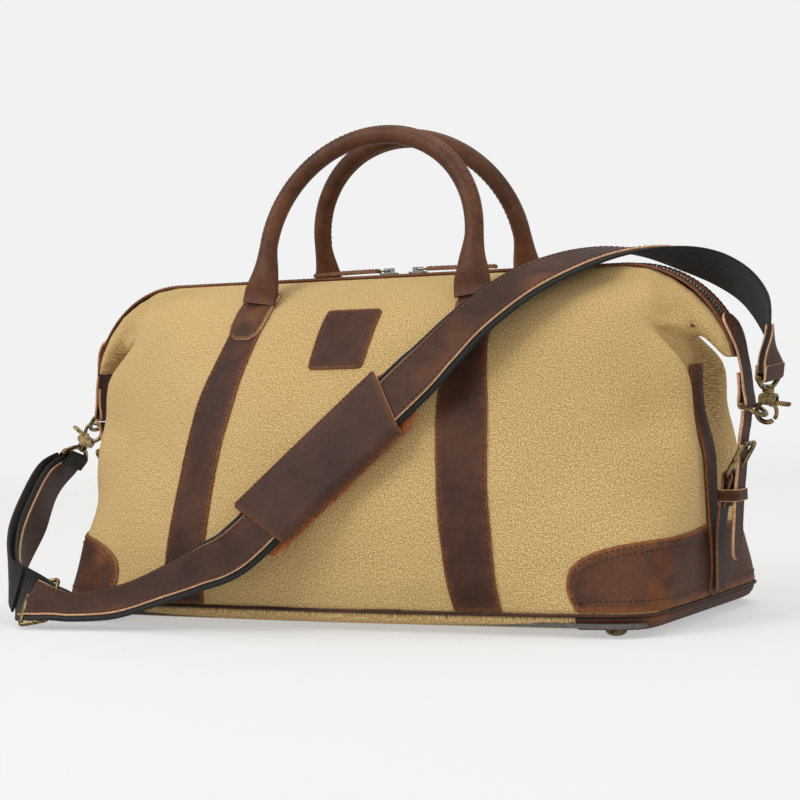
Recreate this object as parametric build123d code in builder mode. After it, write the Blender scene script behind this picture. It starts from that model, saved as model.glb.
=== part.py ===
from build123d import *
from math import cos, radians, sin
import os

# Canvas and leather travel bag with a zip along its ridge.
# Millimetres. X runs along the bag, the front faces -Y, Z is up.
# The origin is the underside of the middle foot, at the centre of the base.

# ---- driving dimensions -------------------------------------------------------------------
base_half_length = 238
base_half_width = 124
seam_height = 15            # the piped seam between the base and the panels
piping = 3.2                # thickness of the piping
foot_height = 5
foot_diameter = 16
foot_spacing_x = 2 * 208
foot_spacing_y = 2 * 98
ridge_height = 247
ridge_half_width = 16       # the flat top that carries the zip
ridge_straight = 185        # the zip is straight for this far each side of the middle
ridge_radius = 80           # and then turns down round this radius
ridge_turn = 80             # through this many degrees
nose_width = 32             # the mouth's ends stand out over the bag's ends, this wide
nose_low = [(254, 184), (241, 203), (205, 214), (150, 222)]     # X and Z down their lower edge
canvas = 1.8
leather = 1.8
gap = 0.3                   # clearance between pieces that move

strap_width = 37            # vertical leather straps
strap_spread = 118          # their distance from the middle, at the seam
strap_lean = 0.13           # and how much closer they get for each millimetre up
strap_top = 236
tab_width = 30
tab_bottom = 203
tab_top = 229

handle_half_span = 85
handle_diameter = 13
handle_core_diameter = 7
handle_arch_height = 269    # height of the centre of the arch
handle_pivot_y = 52
handle_pivot_z = 233
handle_lean = 16            # degrees that each handle leans in over the zip

zip_opening = 9             # half width of the slot between the panels
teeth_inner = 1.0
teeth_outer = 3.2
facing_inner = 7
facing_outer = 15
slider_left_x = -6
slider_right_x = 18
slider_length = 13
pull_length = 56
pull_width = 9
pull_thickness = 3

end_tab_width = 20
end_tab_x = 266             # inner face of the leather tab at the end of the zip
end_tab_top = 190
end_tab_thickness = 4.4
ring_wire = 3.2
ring_width = 26
ring_depth = 15
ring_height = 148           # the D-ring's bar
belt_width = 18
belt_thickness = 2.4
buckle_low = (256, 99)      # X and Z of the buckle's lower bar, held by the anchor
buckle_high = (269, 121)    # and of its upper bar
buckle_width = 25
buckle_wire = 3.4
hook_radius = 7.2
hook_wire = 3.4
loop_distance = 25          # from the middle of the hook to the bar in the strap's end
shoulder_width = 38
shoulder_facing_width = 30
webbing = 2.2
pad_width = 54

# Horizontal sections of the filled bag: height, half length, half width at the middle,
# half width at the ends, corner radius.
bag_sections = [
    (seam_height + piping / 2, base_half_length, base_half_width, 114, 24),
    (55, 240, 134, 98, 30),
    (95, 240, 133, 76, 34),
    (135, 240, 120, 58, 30),
    (175, 238, 98, 47, 26),
    (212, 230, 70, 40, 24),
    (234, 212, 44, 26, 18),
    (ridge_height, ridge_straight, ridge_half_width, 13, 8),
]

os.makedirs("parts", exist_ok=True)
ends = [("left", -1), ("right", 1)]
faces = [("front", -1), ("back", 1)]


def save(piece, name):
    """Label a finished piece and write it as a node of its own."""
    piece.part.label = name
    export_step(piece.part, f"parts/{name}.step")


def bag_form(grow):
    """Solid of the filled bag without its zip ends, every section grown by grow."""
    with BuildPart() as form:
        for z, half_length, middle, end, corner in bag_sections:
            x, bulge, y = half_length + grow, middle + grow, end + grow
            with BuildSketch(Plane.XY.offset(z)) as section:
                with BuildLine():
                    ThreePointArc((-x, -y), (0, -bulge), (x, -y))
                    Line((x, -y), (x, y))
                    ThreePointArc((x, y), (0, bulge), (-x, y))
                    Line((-x, y), (-x, -y))
                make_face()
                fillet(section.vertices(), corner + grow)
        loft(ruled=True)
    return form.part


def ridge_band(below, above, y_from, y_to, turn=ridge_turn):
    """Strip along the zip line, from below to above it, between two values of Y."""
    centre_z = ridge_height - ridge_radius
    inner, outer = ridge_radius + below, ridge_radius + above
    with BuildPart() as band:
        with BuildSketch(Plane.XZ.offset(-y_to)):
            with BuildLine():
                top_right = CenterArc((ridge_straight, centre_z), outer, 90, -turn)
                low_right = CenterArc((ridge_straight, centre_z), inner, 90, -turn)
                top_left = CenterArc((-ridge_straight, centre_z), outer, 90, turn)
                low_left = CenterArc((-ridge_straight, centre_z), inner, 90, turn)
                Line(top_left @ 0, top_right @ 0)
                Line(low_left @ 0, low_right @ 0)
                Line(top_right @ 1, low_right @ 1)
                Line(top_left @ 1, low_left @ 1)
            make_face()
        extrude(amount=y_to - y_from)
    return band.part


def nose_form(inset):
    """Solid of the mouth with its two ends, every face moved in by inset."""
    centre_z = ridge_height - ridge_radius
    radius = ridge_radius - inset
    tip = [(x - inset, z + inset) for x, z in nose_low]
    tail = [(-x, z) for x, z in reversed(tip)]
    with BuildPart() as nose:
        with BuildSketch(Plane.XZ.offset(inset - nose_width / 2)):
            with BuildLine():
                right = CenterArc((ridge_straight, centre_z), radius, 90, -ridge_turn)
                left = CenterArc((-ridge_straight, centre_z), radius, 90, ridge_turn)
                Line(left @ 0, right @ 0)
                Polyline(right @ 1, *tip, *tail, left @ 1)
            make_face()
        extrude(amount=nose_width - 2 * inset)
    return nose.part


def strap_centre(z):
    """Distance from the middle of the vertical straps at height z."""
    return strap_spread - strap_lean * (z - seam_height)


# ---- base -----------------------------------------------------------------------------------
seam_low = seam_height - piping / 2
seam_high = seam_height + piping / 2
base_corner = 24

with BuildPart() as base_panel:
    with BuildSketch(Plane.XY.offset(foot_height)):
        RectangleRounded(2 * base_half_length - 4, 2 * base_half_width - 4, base_corner)
    extrude(amount=seam_low - foot_height)
    with BuildSketch(Plane.XY.offset(foot_height + canvas)):
        RectangleRounded(2 * base_half_length - 8, 2 * base_half_width - 8, base_corner - 2)
    extrude(amount=seam_low, mode=Mode.SUBTRACT)
save(base_panel, "base_panel")

with BuildPart() as base_piping:
    with BuildSketch(Plane.XY.offset(seam_low)):
        RectangleRounded(2 * base_half_length + 2, 2 * base_half_width + 2, base_corner + 1)
        RectangleRounded(2 * base_half_length - 8, 2 * base_half_width - 8, base_corner - 4,
                         mode=Mode.SUBTRACT)
    extrude(amount=piping)
save(base_piping, "base_piping")

board_clearance = 14
with BuildPart() as base_board:
    with BuildSketch(Plane.XY.offset(foot_height + canvas)):
        RectangleRounded(2 * base_half_length - board_clearance,
                         2 * base_half_width - board_clearance, base_corner - 6)
    extrude(amount=3)
save(base_board, "base_board")

with BuildPart() as feet:
    with BuildSketch(Plane.XY):
        with GridLocations(foot_spacing_x, foot_spacing_y, 2, 2):
            Circle(foot_diameter / 2 - 2)
        Circle(foot_diameter / 2 - 2)
    extrude(amount=foot_height)
    with BuildSketch(Plane.XY.offset(1.5)):
        with GridLocations(foot_spacing_x, foot_spacing_y, 2, 2):
            Circle(foot_diameter / 2)
        Circle(foot_diameter / 2)
    extrude(amount=foot_height - 1.5)
save(feet, "feet")

# ---- canvas shell ---------------------------------------------------------------------------
outer_form = bag_form(0)
inner_form = bag_form(-canvas)
nose_outer = nose_form(0)
nose_inner = nose_form(canvas)
zip_slot = ridge_band(-8, 6, -zip_opening, zip_opening)

for face, side in faces:
    with BuildPart() as panel:
        add(outer_form)
        add(nose_outer)
        add(inner_form, mode=Mode.SUBTRACT)
        add(nose_inner, mode=Mode.SUBTRACT)
        add(zip_slot, mode=Mode.SUBTRACT)
        split(bisect_by=Plane.XZ, keep=Keep.TOP if side < 0 else Keep.BOTTOM)
    save(panel, f"{face}_panel")

lining_top = 228
with BuildPart() as lining:
    add(bag_form(-canvas - 0.2))
    add(bag_form(-canvas - 1.2), mode=Mode.SUBTRACT)
    with BuildSketch(Plane.XY.offset(lining_top)):
        Rectangle(600, 300)
    extrude(amount=60, mode=Mode.SUBTRACT)
save(lining, "lining")

pocket_half_length = 110
pocket_depth = 90
pocket_y = 100
with BuildPart() as inner_pocket:
    with BuildSketch(Plane.XZ.offset(-pocket_y)):
        with Locations((0, 90)):
            RectangleRounded(2 * pocket_half_length, pocket_depth, 12)
    extrude(amount=1)
save(inner_pocket, "inner_pocket")


# ---- leather sewn on the canvas ---------------------------------------------------------------
first_layer = bag_form(leather) - outer_form
second_layer = bag_form(2 * leather) - bag_form(leather)


def cover(layer, outline, side):
    """Cut a sewn piece out of a layer: what lies in front (-1), behind (1) or both (0)."""
    reach = 2 * base_half_width
    with BuildPart() as piece:
        with BuildSketch(Plane.XZ):
            add(outline)
        extrude(amount=reach if side <= 0 else -reach, both=side == 0)
        add(layer, mode=Mode.INTERSECT)
    return piece


def strap_outline(side):
    """Leaning strip from the seam to the top of the panel."""
    low, high = seam_high, strap_top
    half = strap_width / 2
    with BuildSketch() as outline:
        with BuildLine():
            Polyline((side * strap_centre(low) - half, low), (side * strap_centre(low) + half, low),
                     (side * strap_centre(high) + half, high),
                     (side * strap_centre(high) - half, high), close=True)
        make_face()
    return outline.sketch


def tab_outline(side):
    """Handle tab: a strip with a round lower end, over the strap."""
    half = tab_width / 2
    x = side * strap_centre(tab_top)
    with BuildSketch() as outline:
        with BuildLine():
            Line((x + half, tab_bottom + half), (x + half, tab_top))
            Line((x + half, tab_top), (x - half, tab_top))
            Line((x - half, tab_top), (x - half, tab_bottom + half))
            ThreePointArc((x - half, tab_bottom + half), (x, tab_bottom), (x + half, tab_bottom + half))
        make_face()
    return outline.sketch


def patch_outline(side):
    """End patch: its edge rises in a curve on the front and runs level round the end."""
    edge_low = (side * 186, seam_high)
    edge_turn = (side * 196, 48)
    edge_high = (side * 232, 66)
    with BuildSketch() as outline:
        with BuildLine():
            ThreePointArc(edge_low, edge_turn, edge_high)
            Polyline(edge_high, (side * 260, 68), (side * 260, seam_high), edge_low)
        make_face()
    return outline.sketch


for face, side in faces:
    for end, way in ends:
        strap = cover(first_layer, strap_outline(way), side)
        save(strap, f"{face}_{end}_strap")
        tab = cover(second_layer, tab_outline(way), side)
        save(tab, f"{face}_{end}_handle_tab")

for end, way in ends:
    patch = cover(first_layer, patch_outline(way), 0)
    save(patch, f"{end}_end_patch")

label_x, label_z = -3, 201
label_width, label_height = 48, 52
with BuildSketch() as label_outline:
    with Locations((label_x, label_z)):
        RectangleRounded(label_width, label_height, 4)
blank_patch = cover(first_layer, label_outline.sketch, -1)
save(blank_patch, "blank_patch")

strip_width = 18
strip_top = 186
for end, way in ends:
    with BuildPart() as strip:
        with BuildSketch(Plane.YZ):
            with Locations((0, (seam_high + strip_top) / 2)):
                Rectangle(strip_width, strip_top - seam_high)
        extrude(amount=way * 300)
        add(second_layer, mode=Mode.INTERSECT)
    save(strip, f"{end}_end_strip")

# ---- zip ----------------------------------------------------------------------------------------
def both_sides(below, above, y_from, y_to):
    """The same strip along the zip line on the front and on the back."""
    with BuildPart() as pair:
        add(ridge_band(below, above, y_from, y_to))
        add(ridge_band(below, above, -y_to, -y_from))
    return pair


tape = 1.2
teeth_height = 1.6
save(both_sides(-tape, 0, teeth_outer, zip_opening), "zip_tapes")
save(both_sides(-teeth_height, teeth_height, teeth_inner, teeth_outer), "zip_teeth")
save(both_sides(0, leather, facing_inner, facing_outer), "zip_facings")

plate = 1.4
slider_width = 10
bridge_length = 5           # the web that joins the slider's plates between the teeth
eye_length, eye_width, eye_hole = 8, 2, 1.2
plate_rise = teeth_height + gap
ring_diameter = 9
ring_thickness = 1.6
eye_height = 3.4
for end, way in ends:
    x = slider_left_x if way < 0 else slider_right_x
    top = ridge_height + plate_rise
    bottom = ridge_height - plate_rise - plate
    with BuildPart() as slider:
        for z in (top, bottom):
            with BuildSketch(Plane.XY.offset(z)):
                with Locations((x, 0)):
                    RectangleRounded(slider_length, slider_width, 3)
            extrude(amount=plate)
        with Locations((x, 0, ridge_height)):
            Box(bridge_length, 2 * (teeth_inner - gap), 2 * plate_rise)
        with Locations((x, 0, top + plate + eye_height / 2)):
            Box(eye_length, eye_width, eye_height)
            Cylinder(eye_hole, eye_width + 1, rotation=(90, 0, 0), mode=Mode.SUBTRACT)
    save(slider, f"{end}_zip_slider")
    pivot_z = top + plate + eye_height / 2
    ring_x = x + way * (ring_diameter / 2 - ring_thickness / 2)
    with BuildPart() as pull_ring:
        with Locations((ring_x, 0, pivot_z)):
            Torus(ring_diameter / 2 - ring_thickness / 2, ring_thickness / 2)
    save(pull_ring, f"{end}_pull_ring")
    start = ring_x + way * (ring_diameter / 2 + 0.05)
    with BuildPart() as pull:
        with BuildSketch(Plane.XY.offset(pivot_z - pull_thickness / 2)):
            with Locations((start + way * pull_length / 2, 0)):
                RectangleRounded(pull_length, pull_width, 3)
        extrude(amount=pull_thickness)
    save(pull, f"{end}_zip_pull")

# ---- handles ------------------------------------------------------------------------------------
tube_start = 16             # the flat neck becomes a round tube this far above the fold
neck_width = 24
neck_thickness = 3.4
core_play = 0.1
for face, side in faces:
    lean = radians(handle_lean)
    stand = Plane(origin=(0, side * handle_pivot_y, handle_pivot_z), x_dir=(1, 0, 0),
                  z_dir=(0, -cos(lean), -side * sin(lean)))
    arch_start = (handle_arch_height - handle_pivot_z) / cos(lean)
    with BuildLine(stand) as arch:
        Line((-handle_half_span, tube_start), (-handle_half_span, arch_start))
        ThreePointArc((-handle_half_span, arch_start), (0, arch_start + handle_half_span),
                      (handle_half_span, arch_start))
        Line((handle_half_span, arch_start), (handle_half_span, tube_start))
    foot_plane = Plane(origin=arch.line @ 0, x_dir=(1, 0, 0), z_dir=arch.line % 0)
    with BuildPart() as core:
        with BuildSketch(foot_plane):
            Circle(handle_core_diameter / 2)
        sweep(path=arch.line)
    save(core, f"{face}_handle_core")
    with BuildPart() as handle:
        with BuildSketch(foot_plane):
            Circle(handle_diameter / 2)
            Circle(handle_core_diameter / 2 + core_play, mode=Mode.SUBTRACT)
        sweep(path=arch.line)
        for x in (-handle_half_span, handle_half_span):
            fold = Plane(origin=stand.from_local_coords((x, 1, 0)), x_dir=(1, 0, 0), z_dir=stand.y_dir)
            with BuildSketch(fold):
                RectangleRounded(neck_width, neck_thickness, neck_thickness / 2 - 0.1)
            with BuildSketch(fold.offset(tube_start - 1)):
                Circle(handle_diameter / 2)
            loft()
    save(handle, f"{face}_handle")


# ---- rings, belts and buckles at the ends ----------------------------------------------------------
def d_ring(plane, width, depth, wire):
    """Ring with a straight bar along the plane's X and a bow out along its Y."""
    with BuildPart() as ring:
        with BuildLine(plane) as bow:
            ThreePointArc((-width / 2, 0), (0, depth), (width / 2, 0))
        with BuildSketch(Plane(origin=bow.line @ 0, z_dir=bow.line % 0)):
            Circle(wire / 2)
        sweep(path=bow.line)
        with BuildSketch(Plane(origin=bow.line @ 0, z_dir=plane.x_dir)):
            Circle(wire / 2)
        extrude(amount=width)
        with Locations(bow.line @ 0, bow.line @ 1):
            Sphere(wire / 2)
    return ring


def wire_frame(plane, width, height, wire, corner):
    """Rectangular ring of round wire, standing on the plane's X axis."""
    with BuildPart() as ring:
        with BuildLine(plane) as path:
            FilletPolyline((-width / 2, 0), (width / 2, 0), (width / 2, height), (-width / 2, height),
                           radius=corner, close=True)
        with BuildSketch(Plane(origin=path.line @ 0, z_dir=path.line % 0)):
            Circle(wire / 2)
        sweep(path=path.line)
    return ring


def leather_run(points, way):
    """Strap of the belt's section along points given as X and Z."""
    with BuildPart() as run:
        with BuildSketch(Plane.XZ.offset(-belt_width / 2)):
            with BuildLine():
                Polyline(*[(way * x, z) for x, z in points])
            trace(line_width=belt_thickness)
        extrude(amount=belt_width)
    return run.part


ring_x = end_tab_x + end_tab_thickness / 2
ring_hole = ring_wire / 2 + gap
tab_wall = 2.2
buckle_hole = buckle_wire / 2 + gap
ring_tilt = {"left": 45, "right": 30}       # degrees below level
belt_points = [(ring_x, ring_height - ring_hole - tab_wall - 0.2), (265.4, 126), (262.4, 99),
               (260, 80), (257, 41)]
anchor_points = [(245.8, 20), (246.4, 58), (253, 91), (buckle_low[0] - 1, buckle_low[1] - 3)]
prong_slot = (262.5, 104.5)                 # X and Z where the prong passes through the belt
keeper_low, keeper_high = 82, 90
keeper_inner, keeper_outer = (249.4, 262.6), (248, 264)
prong_wire = 2.2
prong_offset = buckle_wire / 2 + gap + prong_wire / 2

for end, way in ends:
    with BuildPart() as end_tab:
        with BuildSketch(Plane.YZ.offset(way * end_tab_x)):
            with Locations((0, (end_tab_top + ring_height) / 2)):
                RectangleRounded(end_tab_width, end_tab_top - ring_height, 3)
        extrude(amount=way * end_tab_thickness)
        with Locations((way * ring_x, 0, ring_height)):
            Cylinder(ring_hole + tab_wall, end_tab_width, rotation=(90, 0, 0))
            Cylinder(ring_hole, end_tab_width, rotation=(90, 0, 0), mode=Mode.SUBTRACT)
    save(end_tab, f"{end}_zip_end_tab")

    tilt = radians(ring_tilt[end])
    out = Vector(way * cos(tilt), 0, -sin(tilt))
    ring_plane = Plane(origin=(way * ring_x, 0, ring_height), x_dir=(0, 1, 0),
                       z_dir=Vector(0, 1, 0).cross(out))
    save(d_ring(ring_plane, ring_width, ring_depth, ring_wire), f"{end}_d_ring")

    with BuildPart() as belt:
        add(leather_run(belt_points, way))
        with Locations((way * prong_slot[0], 0, prong_slot[1])):
            Box(12, 3.4, 16, mode=Mode.SUBTRACT)
    save(belt, f"{end}_belt")

    low = Vector(way * buckle_low[0], 0, buckle_low[1])
    high = Vector(way * buckle_high[0], 0, buckle_high[1])
    rise = high - low
    frame_plane = Plane(origin=low, x_dir=(0, way, 0), z_dir=Vector(0, way, 0).cross(rise))
    save(wire_frame(frame_plane, buckle_width, rise.length, buckle_wire, 3), f"{end}_buckle_frame")

    with BuildPart() as anchor:
        add(leather_run(anchor_points, way))
        with Locations(low):
            Cylinder(buckle_hole + 2, belt_width, rotation=(90, 0, 0))
            Cylinder(buckle_hole, belt_width, rotation=(90, 0, 0), mode=Mode.SUBTRACT)
            Box(14, 4.4, 12, mode=Mode.SUBTRACT)
    save(anchor, f"{end}_anchor_strap")

    outward = Vector(0, way, 0).cross(rise).normalized()
    with BuildPart() as prong:
        with Locations(low):
            Cylinder(buckle_hole + 1.9, 3.4, rotation=(90, 0, 0))
            Cylinder(buckle_hole, 3.4, rotation=(90, 0, 0), mode=Mode.SUBTRACT)
        with BuildSketch(Plane(origin=low + outward * prong_offset, z_dir=rise)):
            Circle(prong_wire / 2)
        extrude(amount=rise.length + 3)
    save(prong, f"{end}_prong")

    with BuildPart() as keeper:
        with BuildSketch(Plane.XY.offset(keeper_low)):
            for (x_low, x_high), width, mode in ((keeper_outer, belt_width + 4, Mode.ADD),
                                                 (keeper_inner, belt_width + 1, Mode.SUBTRACT)):
                with Locations((way * (x_low + x_high) / 2, 0)):
                    Rectangle(x_high - x_low, width, mode=mode)
        extrude(amount=keeper_high - keeper_low)
    save(keeper, f"{end}_belt_keeper")


# ---- snap hooks that carry the shoulder strap --------------------------------------------------------
# For each end: the middle of the hook, the way from it to the strap, and the way across the strap.
hooks = {
    "left": (Vector(-279.6, -0.6, 135.6), Vector(-0.57, -0.30, -0.76).normalized(), Vector(-0.2, 0.95, -0.22)),
    "right": (Vector(282.4, 0, 142.6), Vector(0.13, -0.06, 0.99).normalized(), Vector(0.04, 0.99, 0.06)),
}
cheek_thickness = 8
cheek_length, cheek_depth = 12, 8
gate_thickness = 3.2
pivot_angle = 60            # degrees round the hook's ring from its X
jaw_start, jaw_sweep = 105, 205
gate_start = -34
gate_boss = 2.4
lever_length, lever_width = 12, 3
pin = 1.0
stem = 2.0
stem_start = 12.5
collar = 1.2
barrel_low, barrel_high = 13.4, 17.0
barrel_radius = 4
strap_loop_width = 42
strap_loop_depth = 9
strap_loop_wire = 3.6


def hook_plane(end):
    """Plane of a hook: its Y points to the strap and its X to the thumb lever."""
    middle, to_strap, across = hooks[end]
    across = (across - to_strap * across.dot(to_strap)).normalized()
    return Plane(origin=middle, x_dir=to_strap.cross(-across), z_dir=-across)


for end, way in ends:
    plane = hook_plane(end)
    pivot = (hook_radius * cos(radians(pivot_angle)), hook_radius * sin(radians(pivot_angle)))

    with BuildPart() as hook:
        with BuildLine(plane) as jaw:
            CenterArc((0, 0), hook_radius, jaw_start, jaw_sweep)
        with BuildSketch(Plane(origin=jaw.line @ 0, z_dir=jaw.line % 0)):
            Circle(hook_wire / 2)
        sweep(path=jaw.line)
        with BuildSketch(plane.offset(-cheek_thickness / 2)):
            with Locations((0.6, 9)):
                RectangleRounded(cheek_length, cheek_depth, 3)
        extrude(amount=cheek_thickness)
        with BuildSketch(plane.offset(-gate_thickness / 2 - gap)):
            with Locations((5.4, 7.4)):
                Rectangle(8.4, 7.6)
        extrude(amount=gate_thickness + 2 * gap, mode=Mode.SUBTRACT)
        with BuildSketch(plane.offset(-cheek_thickness / 2)):
            with Locations(pivot):
                Circle(pin)
        extrude(amount=cheek_thickness)
        with BuildSketch(Plane(origin=plane.from_local_coords((0, stem_start, 0)), z_dir=plane.y_dir)):
            Circle(stem)
        extrude(amount=barrel_high - stem_start + gap)
        with BuildSketch(Plane(origin=plane.from_local_coords((0, barrel_high + gap, 0)),
                               z_dir=plane.y_dir)):
            Circle(stem + 1)
        extrude(amount=collar)
    save(hook, f"{end}_hook_body")

    with BuildPart() as gate:
        with BuildLine(plane) as bar:
            CenterArc((0, 0), hook_radius, gate_start, pivot_angle - gate_start - 4)
        with BuildSketch(Plane(origin=bar.line @ 0, z_dir=bar.line % 0)):
            Circle(gate_thickness / 2 - 0.2)
        sweep(path=bar.line)
        with BuildSketch(plane.offset(-gate_thickness / 2)):
            with Locations(pivot):
                Circle(gate_boss)
            with Locations((pivot[0] + 7, pivot[1] + 0.6)):
                RectangleRounded(lever_length, lever_width, 1.2)
        extrude(amount=gate_thickness)
        with BuildSketch(plane.offset(-gate_thickness / 2)):
            with Locations(pivot):
                Circle(pin + 0.2)
        extrude(amount=gate_thickness, mode=Mode.SUBTRACT)
    save(gate, f"{end}_hook_gate")

    loop_plane = Plane(origin=plane.from_local_coords((0, loop_distance, 0)), x_dir=plane.z_dir,
                       z_dir=plane.z_dir.cross(-plane.y_dir))
    bow = d_ring(loop_plane, strap_loop_width, strap_loop_depth, strap_loop_wire)
    with BuildPart() as swivel:
        add(bow.part)
        with BuildSketch(Plane(origin=plane.from_local_coords((0, barrel_low, 0)), z_dir=plane.y_dir)):
            Circle(barrel_radius)
        extrude(amount=barrel_high - barrel_low)
        with BuildSketch(Plane(origin=plane.from_local_coords((0, barrel_low, 0)), z_dir=plane.y_dir)):
            Circle(stem + gap)
        extrude(amount=barrel_high - barrel_low, mode=Mode.SUBTRACT)
        with BuildSketch(Plane(origin=plane.from_local_coords((0, barrel_high, 0)), z_dir=plane.y_dir)):
            Circle(stem + 1 + gap)
        extrude(amount=2, mode=Mode.SUBTRACT)
    save(swivel, f"{end}_strap_loop")

# ---- shoulder strap -------------------------------------------------------------------------------
def strap_end(end, beyond):
    """Point on the strap's middle, this far beyond the bar that holds the end."""
    middle, to_strap, across = hooks[end]
    return middle + to_strap * (loop_distance + beyond)


def strap_end_face(end):
    """Way that the outside of the strap looks where the bar holds it."""
    middle, to_strap, across = hooks[end]
    away = 1 if end == "right" else -1
    face = across.cross(to_strap).normalized()
    return face * (away if face.X > 0 else -away)


# The middle of the webbing and the way its leather face looks, from the right end to the left.
pad_top, pad_foot = Vector(57, -120, 160), Vector(-35, -150, 74)
pad_axis = (pad_top - pad_foot).normalized()
pad_face = Vector(0, -0.96, 0.28)
pad_face = (pad_face - pad_axis * pad_face.dot(pad_axis)).normalized()
pad_travel = 15
straight_top = pad_top + pad_axis * (pad_travel + 6)
straight_foot = pad_foot - pad_axis * (pad_travel + 6)
strap_over = [
    (strap_end("right", 4.2), strap_end_face("right")),
    (strap_end("right", 12), strap_end_face("right")),
    ((286, 2, 194), (0.93, 0.33, 0.05)),
    ((279, 12, 211), (0.74, 0.62, 0.25)),
    ((264, 21, 228), (0.50, 0.72, 0.48)),
    ((243, 27, 241), (0.30, 0.68, 0.66)),
    ((219, 24, 250), (0.12, 0.50, 0.86)),
    ((195, 11, 256), (0.03, 0.12, 0.99)),
    ((172, -9, 256), (0, -0.25, 0.97)),
    ((150, -34, 249), (0, -0.55, 0.83)),
    ((127, -60, 235), (0, -0.70, 0.70)),
    ((103, -86, 212), (0, -0.78, 0.62)),
    ((86, -103, 191), (0, -0.88, 0.46)),
    (straight_top, pad_face),
    (straight_foot, pad_face),
    ((-84, -150, 46), (0, -0.87, 0.49)),
    ((-116, -146, 34), (0, -0.73, 0.68)),
    ((-155, -144, 21), (0, -0.61, 0.79)),
    ((-190, -146, 15.5), (0.06, -0.44, 0.90)),
    ((-206, -148, 15), (0.10, -0.36, 0.93)),
]
strap_up = [
    ((-252, -136, 25), (-0.55, -0.82, 0.15)),
    ((-263, -127, 33), (-0.85, -0.50, 0.10)),
    ((-280, -97, 52), (-0.95, -0.30, 0.05)),
    ((-291, -62, 76), (-0.97, -0.20, 0)),
    ((-302, -30, 96), (-0.95, -0.10, 0.25)),
    (strap_end("left", 12), strap_end_face("left")),
    (strap_end("left", 4.2), strap_end_face("left")),
]


def ribbon(stations, width, thickness, shift):
    """Flat strap through stations, its middle moved out by shift from each of them."""
    middles = [Vector(point) for point, face in stations]
    last = len(middles) - 1
    with BuildPart() as strip:
        for i, (point, face) in enumerate(stations):
            along = (middles[min(i + 1, last)] - middles[max(i - 1, 0)]).normalized()
            across = along.cross(Vector(face)).normalized()
            out = across.cross(along)
            with BuildSketch(Plane(origin=middles[i] + out * shift, x_dir=across, z_dir=along)):
                Rectangle(width, thickness)
        loft(ruled=True)
    return strip.part


facing_shift = webbing / 2 + leather / 2 + 0.1
with BuildPart() as strap_webbing:
    add(ribbon(strap_over, shoulder_width, webbing, 0))
    add(ribbon(strap_up, shoulder_width, webbing, 0))
save(strap_webbing, "shoulder_webbing")

with BuildPart() as strap_facing:
    add(ribbon(strap_over, shoulder_facing_width, leather, facing_shift))
    add(ribbon(strap_up, shoulder_facing_width, leather, -facing_shift))
save(strap_facing, "shoulder_facing")

adjuster_middle = Vector(-228, -147, 18)
adjuster_plane = Plane(origin=adjuster_middle, x_dir=(-0.30, 0.75, 0.59), z_dir=(0.024, -0.613, 0.79))
adjuster_height = 22
adjuster_length = shoulder_width + 5
adjuster_wire = 3.4
adjuster_frame = Plane(origin=adjuster_plane.from_local_coords((0, -adjuster_height / 2, 0)),
                       x_dir=adjuster_plane.x_dir, z_dir=adjuster_plane.z_dir)
save(wire_frame(adjuster_frame, adjuster_length, adjuster_height, adjuster_wire, 3), "strap_adjuster")

# the shoulder pad is a sleeve round the straight part of the strap
pad_plane = Plane(origin=pad_foot, x_dir=pad_axis.cross(pad_face), z_dir=pad_axis)
pad_thickness = 3.0
sleeve_gap = 0.5
glue_line = 0.1
stack = webbing + leather + glue_line
stack_shift = (leather + glue_line) / 2
with BuildPart() as shoulder_pad:
    with BuildSketch(pad_plane):
        with Locations((0, -stack_shift)):
            RectangleRounded(pad_width, stack + 2 * (sleeve_gap + pad_thickness), 3)
            Rectangle(shoulder_width + 3, stack + 2 * sleeve_gap, mode=Mode.SUBTRACT)
    extrude(amount=(pad_top - pad_foot).length)
save(shoulder_pad, "shoulder_pad")
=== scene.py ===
from math import cos, pi, radians, sin

import bmesh
import bpy
import numpy as np
from mathutils import Matrix, Vector, noise
from mathutils.bvhtree import BVHTree
from mathutils.geometry import delaunay_2d_cdt


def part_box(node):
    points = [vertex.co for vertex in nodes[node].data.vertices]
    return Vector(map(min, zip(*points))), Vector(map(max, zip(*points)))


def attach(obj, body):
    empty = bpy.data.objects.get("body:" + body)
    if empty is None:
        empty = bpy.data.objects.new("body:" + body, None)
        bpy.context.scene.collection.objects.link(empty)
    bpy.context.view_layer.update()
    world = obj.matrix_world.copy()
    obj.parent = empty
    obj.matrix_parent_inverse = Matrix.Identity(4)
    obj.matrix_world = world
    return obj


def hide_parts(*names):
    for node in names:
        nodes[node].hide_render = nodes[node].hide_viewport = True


# Canvas and leather travel bag. Shapes are worked out in millimetres and made in metres.
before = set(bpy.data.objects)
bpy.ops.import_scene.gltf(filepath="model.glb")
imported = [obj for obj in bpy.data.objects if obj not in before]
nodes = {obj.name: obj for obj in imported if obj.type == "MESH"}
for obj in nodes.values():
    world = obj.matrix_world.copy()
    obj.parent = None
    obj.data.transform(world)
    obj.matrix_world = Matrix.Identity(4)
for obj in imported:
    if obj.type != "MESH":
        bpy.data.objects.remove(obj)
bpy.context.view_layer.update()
MM = 0.001

# ---- camera, lights and floor -----------------------------------------------------------------
AZIMUTH, ELEVATION, ROLL = radians(28.29), radians(1.52), radians(-2.06)
DISTANCE, TARGET = 1.67031, Vector((-0.00097, 0, 0.15598))


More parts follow.
